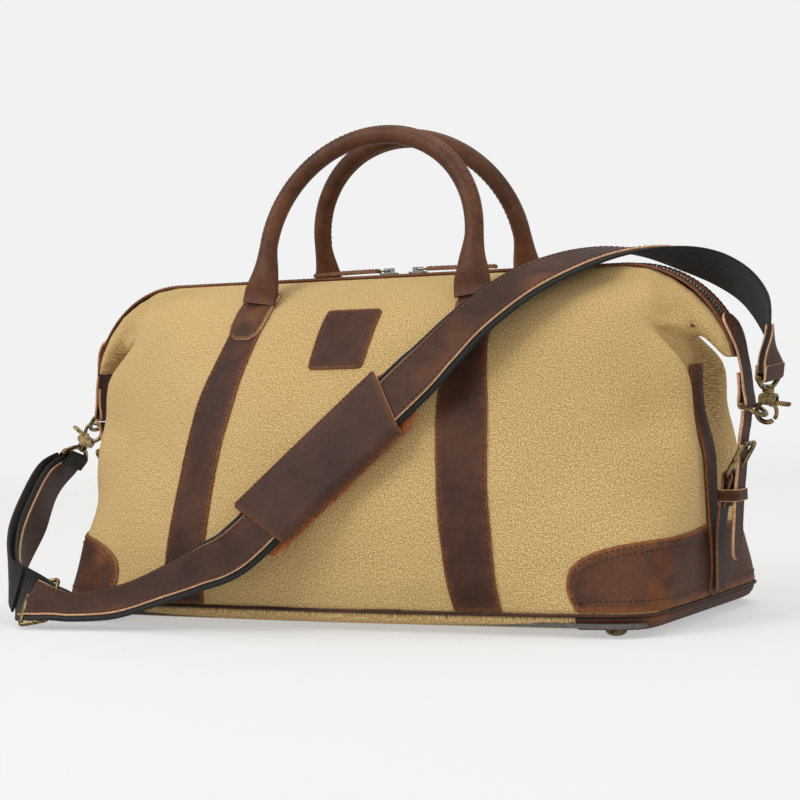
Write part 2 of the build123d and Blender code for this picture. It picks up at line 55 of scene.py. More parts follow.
def studio():
    scene = bpy.context.scene
    scene.view_settings.view_transform = "Standard"
    back = Vector((sin(AZIMUTH) * cos(ELEVATION), -cos(AZIMUTH) * cos(ELEVATION), sin(ELEVATION)))
    right = Vector((cos(AZIMUTH), sin(AZIMUTH), 0))
    up = back.cross(right)
    turned = right * cos(ROLL) + up * sin(ROLL)
    up = up * cos(ROLL) - right * sin(ROLL)
    data = bpy.data.cameras.new("camera")
    data.lens, data.sensor_width, data.clip_end = 101.42, 36, 40
    camera = bpy.data.objects.new("camera", data)
    camera.matrix_world = Matrix((turned, up, back)).transposed().to_4x4()
    camera.matrix_world.translation = TARGET + back * DISTANCE
    scene.collection.objects.link(camera)
    scene.camera = camera

    world = bpy.data.worlds.new("studio")
    world.use_nodes = True
    tree = world.node_tree
    shade = tree.nodes["Background"]
    shade.inputs["Color"].default_value = (0.89, 0.89, 0.888, 1)
    ray = tree.nodes.new("ShaderNodeLightPath")
    level = tree.nodes.new("ShaderNodeMapRange")
    level.inputs["To Min"].default_value = 0.62
    level.inputs["To Max"].default_value = 1.0
    tree.links.new(ray.outputs["Is Camera Ray"], level.inputs["Value"])
    tree.links.new(level.outputs["Result"], shade.inputs["Strength"])
    scene.world = world
    for name, place, size, power, warm in (
            ("key", (-1.3, -2.0, 2.1), 1.6, 42, 1.0), ("fill", (2.4, -1.6, 1.1), 1.6, 14, 0.98),
            ("top", (0.3, 0.6, 2.6), 2.0, 22, 1.0)):
        light = bpy.data.lights.new(name, "AREA")
        light.size, light.energy, light.color = size, power, (1, warm, warm * 0.98)
        lamp = bpy.data.objects.new(name, light)
        lamp.location = place
        lamp.rotation_euler = (Vector((0, 0, 0.14)) - Vector(place)).to_track_quat("-Z", "Y").to_euler()
        scene.collection.objects.link(lamp)


studio()


# ---- materials ----------------------------------------------------------------------------------
def node(tree, kind, props=None, **inputs):
    """Add a shader node. Inputs are given by socket name, or i0, i1 for sockets by number."""
    made = tree.nodes.new("ShaderNode" + kind)
    for key, value in (props or {}).items():
        setattr(made, key, value)
    for key, value in inputs.items():
        number = key[1:].isdigit() and key[0] == "i"
        socket = made.inputs[int(key[1:])] if number else made.inputs[key.replace("_", " ")]
        if isinstance(value, bpy.types.NodeSocket):
            tree.links.new(value, socket)
        else:
            socket.default_value = value
    return made


def material(name, **settings):
    made = bpy.data.materials.new(name)
    made.use_nodes = True
    tree = made.node_tree
    shader = tree.nodes["Principled BSDF"]
    for key, value in settings.items():
        shader.inputs[key.replace("_", " ")].default_value = value
    return made, tree, shader


def math(tree, operation, a, b=0.0, c=0.0):
    return node(tree, "Math", {"operation": operation}, i0=a, i1=b, i2=c).outputs[0]


def mix(tree, factor, a, b, blend="MIX"):
    made = node(tree, "Mix", {"data_type": "RGBA", "blend_type": blend})
    for socket, value in ((0, factor), (6, a), (7, b)):
        if isinstance(value, bpy.types.NodeSocket):
            tree.links.new(value, made.inputs[socket])
        else:
            made.inputs[socket].default_value = value
    return made.outputs[2]


def grain(tree, scale, detail=3.0, rough=0.55, stretch=(1, 1, 1), source=None, seed=0.0):
    """Noise on the object's own coordinates, features about 1/scale metres across."""
    if source is None:
        source = node(tree, "TexCoord").outputs["Object"]
    place = node(tree, "Mapping", Vector=source, Scale=stretch, Location=(seed, seed * 0.7, -seed))
    return node(tree, "TexNoise", Vector=place.outputs[0], Scale=scale, Detail=detail,
                Roughness=rough).outputs["Fac"]


def ramp(tree, factor, *stops):
    made = node(tree, "ValToRGB", Fac=factor)
    band = made.color_ramp
    while len(band.elements) < len(stops):
        band.elements.new(0.5)
    for element, (at, colour) in zip(band.elements, stops):
        element.position = at
        element.color = (*colour, 1) if hasattr(colour, "__len__") else (colour, colour, colour, 1)
    return made.outputs["Color"]


def bump(tree, shader, *layers):
    """Stack (height, strength, distance) layers of bump on the shader."""
    last = None
    for height, strength, distance in layers:
        made = node(tree, "Bump", Height=height, Strength=strength, Distance=distance)
        if last:
            tree.links.new(last, made.inputs["Normal"])
        last = made.outputs["Normal"]
    tree.links.new(last, shader.inputs["Normal"])


def thread_waves(tree, pitch, source):
    """Heights of the two sets of threads of a twill with that pitch, on flat coordinates."""
    axes = node(tree, "SeparateXYZ", Vector=source)
    turn = 2 * pi / pitch
    across = math(tree, "SINE", math(tree, "MULTIPLY", axes.outputs[0], turn))
    along = math(tree, "SINE", math(tree, "MULTIPLY", axes.outputs[1], turn))
    both = math(tree, "ADD", axes.outputs[0], axes.outputs[1])
    rib = math(tree, "SINE", math(tree, "MULTIPLY", both, turn / 2))
    over = math(tree, "GREATER_THAN", rib, 0.0)
    raised = math(tree, "ADD", math(tree, "MULTIPLY", across, over),
                  math(tree, "MULTIPLY", along, math(tree, "SUBTRACT", 1.0, over)))
    return raised, rib


def canvas_material():
    made, tree, shader = material("canvas", Roughness=0.93, Sheen_Weight=0.08, Sheen_Roughness=0.6,
                                  Specular_IOR_Level=0.18)
    shader.inputs["Sheen Tint"].default_value = (1.0, 0.9, 0.72, 1)
    flat = node(tree, "UVMap", {"uv_map": "flat"}).outputs[0]
    threads, rib = thread_waves(tree, 0.00085, flat)
    warp = grain(tree, 1300, 1, 0.7, (1, 0.8, 1), flat)
    weft = grain(tree, 700, 1, 0.6, (1, 0.8, 1), flat, 3.1)
    fleck = math(tree, "ADD", math(tree, "MULTIPLY", warp, 0.8), math(tree, "MULTIPLY", weft, 0.2))
    tone = ramp(tree, fleck, (0.38, (0.38, 0.225, 0.072)), (0.5, (0.64, 0.425, 0.168)),
                (0.62, (0.94, 0.71, 0.37)))
    patch = grain(tree, 7, 3, 0.5)
    tone = mix(tree, 0.35, tone, ramp(tree, patch, (0.35, (0.86, 0.82, 0.76)), (0.65, (1, 1, 1))), "MULTIPLY")
    twill = ramp(tree, math(tree, "MULTIPLY_ADD", rib, 0.5, 0.5), (0.1, 0.82), (0.9, 1.0))
    tone = mix(tree, 0.6, tone, twill, "MULTIPLY")
    tree.links.new(tone, shader.inputs["Base Color"])
    bump(tree, shader, (threads, 0.5, 0.00018), (fleck, 0.5, 0.0003))
    return made


def leather_material(name, dark, mid, light, worn, gloss=0.5, patches=16.0, seed=0.0, spread=1.0):
    """Oiled pull-up leather: cloudy brown, paler where it is bent or rubbed."""
    made, tree, shader = material(name, Specular_IOR_Level=0.22, Coat_Weight=0.02, Coat_Roughness=0.35)
    cloud = grain(tree, patches, 5, 0.62, seed=seed)
    tone = ramp(tree, cloud, (0.36, dark), (0.5, mid), (0.66, light))
    fine = grain(tree, 260, 4, 0.65, seed=seed + 2)
    tone = mix(tree, 0.5, tone, ramp(tree, fine, (0.35, 0.72), (0.62, 1.15)), "MULTIPLY")
    rubbed = grain(tree, patches * 0.6, 3, 0.5, seed=seed + 5)
    pull = ramp(tree, rubbed, (0.60, 0.0), (0.74, 0.75 * spread))
    wear = node(tree, "Attribute", {"attribute_name": "wear"}).outputs["Fac"]
    scuff = math(tree, "MULTIPLY", wear, ramp(tree, fine, (0.3, 0.35), (0.7, 1.0)))
    amount = math(tree, "MAXIMUM", pull, scuff)
    tone = mix(tree, amount, tone, (*worn, 1))
    tree.links.new(tone, shader.inputs["Base Color"])
    rough = node(tree, "MapRange", Value=cloud, To_Min=gloss - 0.08, To_Max=gloss + 0.14).outputs[0]
    tree.links.new(rough, shader.inputs["Roughness"])
    cells = node(tree, "TexVoronoi", {"feature": "DISTANCE_TO_EDGE"}, Scale=900.0,
                 Vector=node(tree, "TexCoord").outputs["Object"]).outputs["Distance"]
    pores = ramp(tree, cells, (0.0, 0.0), (0.16, 1.0))
    bump(tree, shader, (pores, 0.22, 0.00025), (fine, 0.35, 0.0004), (cloud, 0.3, 0.002))
    return made


def plain_material(name, dark, light, scale, roughness, depth=0.0002, metallic=0.0, **settings):
    """Two tones of one colour broken up by fine noise, with its bump."""
    made, tree, shader = material(name, Metallic=metallic, **settings)
    fleck = grain(tree, scale, 4, 0.6)
    tree.links.new(ramp(tree, fleck, (0.35, dark), (0.65, light)), shader.inputs["Base Color"])
    rough = node(tree, "MapRange", Value=fleck, To_Min=roughness - 0.07, To_Max=roughness + 0.1)
    tree.links.new(rough.outputs[0], shader.inputs["Roughness"])
    bump(tree, shader, (fleck, 0.5, depth))
    return made


def webbing_material(name, dark, light, rib=0.0016):
    """Woven strap: ribs across it with the threads running along, on flat coordinates."""
    made, tree, shader = material(name, Roughness=0.85, Sheen_Weight=0.12, Sheen_Roughness=0.5,
                                  Specular_IOR_Level=0.25)
    flat = node(tree, "UVMap", {"uv_map": "flat"}).outputs[0]
    axes = node(tree, "SeparateXYZ", Vector=flat)
    turn = 2 * pi / rib
    step = math(tree, "MULTIPLY", axes.outputs[0], turn)
    side = math(tree, "MULTIPLY", math(tree, "FLOOR", math(tree, "DIVIDE", axes.outputs[0], rib)), pi)
    run = math(tree, "SINE", math(tree, "ADD", math(tree, "MULTIPLY", axes.outputs[1], turn * 0.8), side))
    ribs = math(tree, "ABSOLUTE", math(tree, "SINE", step))
    height = math(tree, "ADD", math(tree, "MULTIPLY", run, 0.6), ribs)
    fuzz = grain(tree, 700, 3, 0.6)
    level = math(tree, "ADD", math(tree, "MULTIPLY", height, 0.3), math(tree, "MULTIPLY", fuzz, 0.6))
    tree.links.new(ramp(tree, level, (0.2, dark), (0.75, light)), shader.inputs["Base Color"])
    bump(tree, shader, (height, 0.8, 0.0004), (fuzz, 0.4, 0.0002))
    return made


canvas = canvas_material()
strap_leather = leather_material("strap_leather", (0.030, 0.0115, 0.0070), (0.052, 0.0200, 0.0118),
                                 (0.085, 0.034, 0.018), (0.21, 0.072, 0.022), 0.52)
patch_leather = leather_material("patch_leather", (0.036, 0.0145, 0.0085), (0.068, 0.0265, 0.0150),
                                 (0.115, 0.045, 0.022), (0.33, 0.105, 0.024), 0.54, 15, 4.4, 1.25)
handle_leather = leather_material("handle_leather", (0.042, 0.0155, 0.0080), (0.084, 0.0310, 0.0150),
                                  (0.135, 0.052, 0.024), (0.26, 0.094, 0.034), 0.46, 22, 9.0)
pad_leather = leather_material("pad_leather", (0.032, 0.0130, 0.0082), (0.054, 0.0215, 0.0130),
                               (0.082, 0.034, 0.0195), (0.20, 0.074, 0.027), 0.50, 13, 7.7)
cut_edge = plain_material("cut_edge", (0.13, 0.050, 0.018), (0.30, 0.135, 0.060), 500, 0.75)
tan_edge = plain_material("tan_edge", (0.48, 0.24, 0.12), (0.72, 0.45, 0.27), 500, 0.75)
stitch_dark = plain_material("stitch_dark", (0.016, 0.008, 0.006), (0.040, 0.020, 0.013), 1500, 0.75)
stitch_brown = plain_material("stitch_brown", (0.060, 0.028, 0.016), (0.12, 0.060, 0.036), 1500, 0.7)
webbing = webbing_material("webbing", (0.0035, 0.0032, 0.003), (0.022, 0.020, 0.018))
zip_cloth = webbing_material("zip_cloth", (0.035, 0.016, 0.009), (0.085, 0.040, 0.022), 0.0007)
suede = plain_material("suede", (0.20, 0.052, 0.012), (0.44, 0.135, 0.035), 420, 0.95, 0.0006,
                       Sheen_Weight=0.5, Sheen_Roughness=0.4)
brass = plain_material("antique_brass", (0.075, 0.050, 0.022), (0.36, 0.26, 0.12), 260, 0.25, 0.0001, 1.0)
zip_metal = plain_material("zip_metal", (0.22, 0.20, 0.18), (0.60, 0.56, 0.50), 900, 0.32, 0.0001, 1.0)
lining_cloth = plain_material("lining_cloth", (0.030, 0.026, 0.022), (0.060, 0.052, 0.044), 1200, 0.9)
board_grey = plain_material("board", (0.09, 0.08, 0.07), (0.15, 0.135, 0.12), 300, 0.85)
rope_cotton = plain_material("rope", (0.35, 0.30, 0.22), (0.6, 0.54, 0.42), 600, 0.9)


# ---- mesh helpers ---------------------------------------------------------------------------------
def unit(v):
    return v / np.maximum(np.linalg.norm(v, axis=-1, keepdims=True), 1e-9)


def smooth_step(low, high, x):
    t = np.clip((x - low) / (high - low), 0, 1)
    return t * t * (3 - 2 * t)


def linked(name, mesh):
    made = bpy.data.objects.new(name, mesh)
    bpy.context.scene.collection.objects.link(made)
    return made


def object_from(name, points, faces, materials, body, groups=None, flat=None, wear=None, sharp=40,
                replaces=()):
    """Mesh object from points in millimetres. flat gives each point's place on the flat material."""
    mesh = bpy.data.meshes.new(name)
    mesh.from_pydata((np.asarray(points, float) * MM).tolist(), [], [list(map(int, f)) for f in faces])
    for each in materials:
        mesh.materials.append(each)
    if groups is not None:
        mesh.polygons.foreach_set("material_index", np.asarray(groups, np.int32))
    finish_mesh(mesh, flat, wear, sharp)
    made = linked(name, mesh)
    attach(made, body)
    if replaces:
        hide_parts(*replaces)
    return made


def finish_mesh(mesh, flat=None, wear=None, sharp=40):
    """Smooth shading with sharp creases, flat coordinates and the wear of each point."""
    mesh.polygons.foreach_set("use_smooth", [True] * len(mesh.polygons))
    if sharp:
        mesh.set_sharp_from_angle(angle=radians(sharp))
    corner = np.zeros(len(mesh.loops), np.int32)
    mesh.loops.foreach_get("vertex_index", corner)
    if flat is not None:
        layer = mesh.uv_layers.new(name="flat")
        layer.data.foreach_set("uv", (np.asarray(flat, np.float32)[corner] * MM).ravel())
    if wear is not None:
        layer = mesh.attributes.new("wear", "FLOAT", "POINT")
        layer.data.foreach_set("value", np.asarray(wear, np.float32))
    mesh.update()


def run_along(line):
    """Distance of each point of a polyline from its start."""
    return np.concatenate([[0], np.cumsum(np.linalg.norm(np.diff(line, axis=0), axis=1))])


def resample(points, step, closed=False):
    """Points at even spacing along a polyline."""
    line = np.asarray(points, float)
    if closed:
        line = np.vstack([line, line[:1]])
    along = run_along(line)
    count = max(3, int(round(along[-1] / step)) + 1)
    at = np.linspace(0, along[-1], count)
    out = np.column_stack([np.interp(at, along, line[:, k]) for k in range(line.shape[1])])
    return out[:-1] if closed else out


def spline(points, per=12):
    """Smooth curve through points, Catmull-Rom."""
    p = np.asarray(points, float)
    p = np.vstack([2 * p[0] - p[1], p, 2 * p[-1] - p[-2]])
    t = np.linspace(0, 1, per, endpoint=False)[:, None]
    parts = []
    for i in range(1, len(p) - 2):
        a, b, c, d = p[i - 1], p[i], p[i + 1], p[i + 2]
        parts.append(0.5 * (2 * b + (c - a) * t + (2 * a - 5 * b + 4 * c - d) * t ** 2
                            + (3 * b - a - 3 * c + d) * t ** 3))
    return np.vstack([*parts, p[-2:-1]])


def strap_profile(width, thickness, step=2.5):
    """Closed section of a flat strap with rounded edges, and which of its faces are cut edges."""
    half, h = width / 2, thickness / 2
    r = min(h * 0.75, 0.7)
    across = np.linspace(-half + r, half - r, max(3, int(width / step)))
    top = np.column_stack([across, np.full(len(across), h)])
    side = np.array([(half, h - r), (half, -h + r)])
    low = top[::-1] * (1, -1)
    section = np.vstack([top, side, low, side[::-1] * (-1, 1)])
    n = len(across)
    edge = np.zeros(len(section), bool)
    edge[n - 1:n + 2] = True
    edge[2 * n + 1:] = True
    return section, edge


def sweep(centre, across, up, section, closed=False, scale=None):
    """Points and faces of a section carried along a line. scale gives each ring's (width, height)."""
    count, m = len(centre), len(section)
    scale = np.ones((count, 2)) if scale is None else scale
    rings = (centre[:, None] + across[:, None] * (section[None, :, :1] * scale[:, None, :1])
             + up[:, None] * (section[None, :, 1:] * scale[:, None, 1:]))
    faces, kinds = [], []
    for i in range(count if closed else count - 1):
        j = (i + 1) % count
        for k in range(m):
            l = (k + 1) % m
            faces.append((i * m + k, i * m + l, j * m + l, j * m + k))
            kinds.append(k)
    if not closed:
        faces.append(tuple(range(m))[::-1])
        faces.append(tuple((count - 1) * m + k for k in range(m)))
        kinds += [-1, -1]
    return rings.reshape(-1, 3), faces, kinds


def stack_faces(rings, m, base=0):
    """Faces of a stack of rings of m points from the one numbered base on, with its two ends closed."""
    faces = [tuple(base + k for k in range(m))[::-1], tuple(base + (rings - 1) * m + k for k in range(m))]
    for i in range(base, base + (rings - 1) * m, m):
        for k in range(m):
            l = (k + 1) % m
            faces.append((i + k, i + l, i + m + l, i + m + k))
    return faces


def outward(points, faces):
    """Flip all the faces if the closed mesh is inside out."""
    p = np.asarray(points)
    total = 0.0
    for f in faces:
        a = p[f[0]]
        for i in range(1, len(f) - 1):
            total += np.dot(a, np.cross(p[f[i]], p[f[i + 1]]))
    return [tuple(reversed(f)) for f in faces] if total < 0 else faces


def ribbon(stations, step=3.0):
    """Even frames along a strap: middle, across and out, from (point, outside direction) stations."""
    middle = spline([s[0] for s in stations])
    face = spline([s[1] for s in stations])
    both = resample(np.hstack([middle, face * 0.001]), step)
    middle, face = both[:, :3], both[:, 3:]
    along = unit(np.gradient(middle, axis=0))
    across = unit(np.cross(along, face))
    out = np.cross(across, along)
    return middle, across, out


def unrolled(section, middle, width, reach):
    """Flat coordinates of a section carried along a line, and the wear of its two edges."""
    flat = np.column_stack([np.tile(section[:, 0], len(middle)), np.repeat(run_along(middle), len(section))])
    gap = width / 2 - np.abs(section[:, 0])
    return flat, np.tile(np.exp(-gap / reach) * 0.9, len(middle))


def strap(name, frames, width, thickness, shift, materials, body, replaces=(), taper=None):
    """Flat strap along ribbon frames, with cut edges on its sides."""
    middle, across, out = frames
    section, edge = strap_profile(width, thickness)
    scale = np.ones((len(middle), 2))
    if taper is not None:
        scale[:, 0] = taper(np.linspace(0, 1, len(middle)))
    points, faces, kinds = sweep(middle + out * shift, across, out, section, scale=scale)
    flat, wear = unrolled(section, middle, width, 1.2)
    groups = [1 if k < 0 or edge[k] else 0 for k in kinds]
    return object_from(name, points, outward(points, faces), materials, body, groups, flat, wear,
                       replaces=replaces)


CAPSULE_AT = np.array([0.0, 0.1, 0.3, 0.7, 0.9, 1.0])
CAPSULE_WIDE = np.array([0.35, 0.8, 1.0, 1.0, 0.8, 0.35])


def stitches(name, starts, stops, ups, radius, thread, body):
    """A row of stitches, each a short rounded thread from start to stop."""
    starts, stops, ups = np.asarray(starts), np.asarray(stops), unit(np.asarray(ups))
    run = stops - starts
    sides = unit(np.cross(ups, run))
    turn = np.linspace(0, 2 * pi, 6, endpoint=False)
    points, faces = [], []
    rise = radius * np.array([-0.5, 0.15, 0.45, 0.45, 0.15, -0.5])
    for i in range(len(starts)):
        base = len(points)
        for at, wide, lift in zip(CAPSULE_AT, CAPSULE_WIDE, rise):
            centre = starts[i] + run[i] * at + ups[i] * lift
            for a in turn:
                points.append(centre + (sides[i] * cos(a) + ups[i] * sin(a) * 0.8) * radius * wide)
        faces += stack_faces(len(CAPSULE_AT), len(turn), base)
    return object_from(name, points, faces, [thread], body, sharp=0)


def stitch_line(name, line, ups, pitch, thread, body, radius=0.34):
    """Stitches along a polyline that lies on a surface, with the surface's directions."""
    every, reach = 5, 3             # steps from stitch to stitch, and along each stitch
    both = resample(np.hstack([line, np.asarray(ups) * 0.001]), pitch * 0.2)
    spots, ups = both[:, :3], unit(both[:, 3:])
    starts = np.arange(0, len(spots) - reach, every)
    return stitches(name, spots[starts], spots[starts + reach], ups[starts + reach // 2], radius,
                    thread, body)


def ribbon_stitches(name, frames, offset, height, pitch, thread, body, start=0.0, stop=1.0):
    """Stitches along a strap at an offset from its middle."""
    middle, across, out = frames
    n = len(middle)
    pick = slice(int(start * n), max(int(stop * n), 2))
    line = (middle + across * offset + out * height)[pick]
    return stitch_line(name, line, out[pick], pitch, thread, body)


def inside(polygon, points):
    """Which points lie in the polygon."""
    x, y = points[:, 0], points[:, 1]
    hit = np.zeros(len(points), bool)
    for (x0, y0), (x1, y1) in zip(polygon, np.roll(polygon, -1, 0)):
        crosses = (y0 > y) != (y1 > y)
        with np.errstate(divide="ignore", invalid="ignore"):
            at = (x1 - x0) * (y - y0) / (y1 - y0) + x0
        hit ^= crosses & (x < at)
    return hit


def inset(polygon, amount):
    """Closed outline moved inwards."""
    ahead, behind = np.roll(polygon, -1, 0), np.roll(polygon, 1, 0)
    along = unit(ahead - behind)
    area = np.sum(polygon[:, 0] * ahead[:, 1] - ahead[:, 0] * polygon[:, 1])
    normal = np.column_stack([-along[:, 1], along[:, 0]]) * (1 if area > 0 else -1)
    return polygon + normal * amount


def rounded(points, radius, per=6):
    """Polygon with its corners rounded, as a dense outline. radius is one number or one for each."""
    p = np.asarray(points, float)
    radii = np.broadcast_to(radius, len(p))
    out = []
    for i in range(len(p)):
        a, b, c = p[i - 1], p[i], p[(i + 1) % len(p)]
        r = radii[i]
        if r <= 0:
            out.append(b)
            continue
        u, v = unit(a - b), unit(c - b)
        angle = np.arccos(np.clip(np.dot(u, v), -1, 1))
        reach = min(r / np.tan(angle / 2), 0.45 * np.linalg.norm(a - b), 0.45 * np.linalg.norm(c - b))
        for t in np.linspace(0, 1, per):
            out.append((1 - t) ** 2 * (b + u * reach) + 2 * t * (1 - t) * b + t ** 2 * (b + v * reach))
    return np.array(out)


def from_gap(line):
    """Points of a closed outline of which a part was left out, from the gap's end round to its start."""
    start = int(np.argmax(np.linalg.norm(line - np.roll(line, 1, 0), axis=1)))
    return np.roll(line, -start, 0)


def edge_distance(outline, points):
    """Distance of each point from the closed outline."""
    best = np.full(len(points), 1e9)
    for a, b in zip(outline, np.roll(outline, -1, 0)):
        run = b - a
        t = np.clip(((points - a) @ run) / max(run @ run, 1e-9), 0, 1)
        best = np.minimum(best, np.linalg.norm(points - (a + t[:, None] * run), axis=1))
    return best


BAG_CENTRE = np.array([0, 0, 120.0])


def cut_piece(name, outline, place, thickness, materials, body, lift=0.0, cell=4.0, bevel=0.5,
              soften=2, replaces=(), step=2.2, sink=0.35, wear_reach=2.0):
    """Flat piece cut to an outline, laid on a surface by place(flat points) and given its thickness."""
    outer = resample(outline, step, closed=True)
    inner = inset(outer, bevel)
    low, high = outer.min(0), outer.max(0)
    gx, gy = np.meshgrid(np.arange(low[0], high[0], cell), np.arange(low[1], high[1], cell * 0.87))
    gx = gx + (np.arange(gx.shape[0]) % 2)[:, None] * cell / 2
    loose = np.column_stack([gx.ravel(), gy.ravel()])
    loose = loose[inside(outer, loose)]
    loose = loose[edge_distance(outer, loose) > bevel + 0.45 * cell]
    spots = np.vstack([outer, inner, loose])
    n = len(outer)
    loop = [(i, (i + 1) % n) for i in range(n)]
    loops = loop + [(n + a, n + b) for a, b in loop]
    made = delaunay_2d_cdt([Vector(s) for s in spots], loops, [], 0, 1e-5)
    flat, triangles, origin = made[0], made[2], made[3]
    flat = np.array([tuple(v) for v in flat])
    middles = np.array([flat[list(t)].mean(0) for t in triangles])
    triangles = [t for t, keep in zip(triangles, inside(outer, middles)) if keep]
    kind = np.array([min(o) if o else n * 9 for o in origin])
    ground = place(flat)
    links = set()
    for a, b, c in triangles:
        links |= {(a, b), (b, c), (c, a), (b, a), (c, b), (a, c)}
    links = np.array(sorted(links))
    for _ in range(soften):
        total = np.zeros_like(ground)
        count = np.zeros(len(ground))
        np.add.at(total, links[:, 0], ground[links[:, 1]])
        np.add.at(count, links[:, 0], 1)
        ground = ground * 0.5 + 0.5 * total / np.maximum(count, 1)[:, None]
    face = np.zeros_like(ground)
    for a, b, c in triangles:
        normal = np.cross(ground[b] - ground[a], ground[c] - ground[a])
        for i in (a, b, c):
            face[i] += normal
    face = unit(face)
    if np.sum(face * (ground - BAG_CENTRE)) < 0:
        face = -face
        triangles = [t[::-1] for t in triangles]
    distance = edge_distance(outer, flat)
    height = np.where(kind < n, thickness - bevel, thickness) + lift
    top = ground + face * height[:, None]
    bottom = ground + face * (lift - sink)
    size = len(flat)
    faces = [tuple(t) for t in triangles] + [tuple(size + i for i in reversed(t)) for t in triangles]
    groups = [0] * len(faces)
    border = {}
    for a, b, c in triangles:
        for i, j in ((a, b), (b, c), (c, a)):
            border[(i, j)] = True
    for i, j in list(border):
        if (j, i) not in border:
            faces.append((j, i, size + i, size + j))
            groups.append(1)
    wear = np.exp(-distance / wear_reach)
    points = np.vstack([top, bottom])
    return object_from(name, points, faces, materials, body, groups, np.vstack([flat, flat]),
                       np.concatenate([wear, wear]), sharp=50, replaces=replaces)


def on_surface(line, place, height):
    """Points at a height over a surface along a flat line, and the surface's directions there."""
    line = np.asarray(line, float)
    spots = place(line)
    nudge = 1.5
    du = place(line + (nudge, 0)) - place(line - (nudge, 0))
    dv = place(line + (0, nudge)) - place(line - (0, nudge))
    face = unit(np.cross(du, dv))
    outside = spots - BAG_CENTRE
    face *= np.where(np.sum(face * outside, 1) < 0, -1, 1)[:, None]
    return spots + face * height, face


def sewn(name, line, place, height, pitch, thread, body):
    spots, face = on_surface(resample(line, 1.5), place, height)
    return stitch_line(name, spots, face, pitch, thread, body)


# ---- filled bag -----------------------------------------------------------------------------------
RIDGE_Z, RIDGE_STRAIGHT, RIDGE_RADIUS, RIDGE_TURN = 247, 185, 80, 80
SEAM_HIGH = 16.6
OUTLINE_POINTS, SKIN_POINTS = 360, 900      # points round a section, and round the finished skin
ZIP_SLOT, ZIP_REACH = 8.6, 6                # half width of the slot between the panels, and its depth
CANVAS_THICK, LINING_IN = 1.6, 2.6          # the lining's distance inside the skin
# height, half length, half width at the middle, half width at the ends, squareness of the corners
LEVELS = np.array([
    (SEAM_HIGH, 238, 124, 112, 13), (35, 239.5, 131, 104, 10), (55, 240, 134, 94, 8.5),
    (75, 240, 134.5, 82, 7.5), (95, 240, 133, 70, 7), (115, 240, 127, 60, 6.5), (135, 240, 120, 53, 6),
    (155, 239, 110, 49, 6), (175, 238, 98, 46, 6), (195, 235, 84, 43, 5.5), (212, 230, 70, 39, 5),
    (225, 222, 57, 33, 5), (234, 212, 44, 26, 4.5), (241, 199, 30, 19, 4.5), (246.4, 186, 15, 13, 4)])


def level(z):
    return [np.interp(z, LEVELS[:, 0], LEVELS[:, k]) for k in range(1, 5)]


def section_outline(z):
    """Outline of the filled bag at a height, from the right end's middle by way of the front."""
    length, middle, end, square = level(z)
    turn = np.linspace(0, -2 * pi, OUTLINE_POINTS, endpoint=False)
    c, s = np.cos(turn), np.sin(turn)
    x = length * np.sign(c) * np.abs(c) ** (2 / square)
    wide = end + (middle - end) * (1 - (x / length) ** 2)
    y = wide * np.sign(s) * np.abs(s) ** (2 / square)
    return resample(np.column_stack([x, y, np.full(OUTLINE_POINTS, z)]), 5, closed=True)


def ridge_point(angle, out=0.0):
    """Place on the zip's line turned down by an angle at the right end, and out from it."""
    r = RIDGE_RADIUS + out
    return np.array([RIDGE_STRAIGHT + r * sin(angle), RIDGE_Z - RIDGE_RADIUS + r * cos(angle)])


# the nose at each end: its top and lower edge, from the side
NOSE_POINTS = 14
NOSE = [((110, 247), (110, 226)), ((150, 247), (150, 221)), ((185, 247), (180, 217))]
NOSE += [(tuple(ridge_point(radians(a))), low) for a, low in
         ((14, (199, 215)), (28, (213, 211)), (42, (227, 205)), (55, (239, 198)), (68, (249, 190)),
          (80, (257, 181)))]


def closed_mesh(rings):
    """Points and faces of a stack of equal rings with its two ends closed."""
    return np.vstack(rings), stack_faces(len(rings), len(rings[0]))


def filled_form():
    """The bag's outer skin as one closed mesh, in millimetres."""
    rings = []
    for z in np.linspace(12, 246.4, 90):
        ring = section_outline(max(z, SEAM_HIGH))
        ring[:, 2] = z
        ring = resample(ring, 1, closed=True)
        line = np.vstack([ring, ring[:1]])
        along = run_along(line)
        at = np.linspace(0, along[-1], SKIN_POINTS, endpoint=False)
        rings.append(np.column_stack([np.interp(at, along, line[:, k]) for k in range(3)]))
    parts = [closed_mesh(rings)]
    for way in (-1, 1):
        rings = []
        for top, low in NOSE:
            top, low = np.array(top, float), np.array(low, float)
            ring = []
            share = np.linspace(0, 1, NOSE_POINTS)
            depth = share * np.linalg.norm(low - top)
            half = 15.5 + 7.5 * smooth_step(0, 14, depth) - 10.0 * smooth_step(0.5, 1.0, share)
            for side in (-1, 1):
                for i in range(NOSE_POINTS)[::-side]:
                    p = top + (low - top) * share[i]
                    ring.append((way * p[0], side * half[i], p[1]))
            rings.append(np.array(ring))
        parts.append(closed_mesh(rings))
    points, faces, base = [], [], 0
    for p, f in parts:
        points.append(p)
        faces += [tuple(base + i for i in face) for face in outward(p, f)]
        base += len(p)
    mesh = bpy.data.meshes.new("form")
    mesh.from_pydata(np.vstack(points).tolist(), [], faces)
    made = linked("form", mesh)
    remesh = made.modifiers.new("remesh", "REMESH")
    remesh.mode, remesh.voxel_size, remesh.use_smooth_shade = "VOXEL", 2.8, True
    return relaxed(made, 9)


def applied(made):
    """The object with its modifiers made real."""
    graph = bpy.context.evaluated_depsgraph_get()
    graph.update()
    mesh = bpy.data.meshes.new_from_object(made.evaluated_get(graph))
    made.modifiers.clear()
    old = made.data
    made.data = mesh
    mesh.name = made.name
    bpy.data.meshes.remove(old)
    return made


def relaxed(made, times):
    relax = made.modifiers.new("relax", "SMOOTH")
    relax.factor, relax.iterations = 0.5, times
    return applied(made)


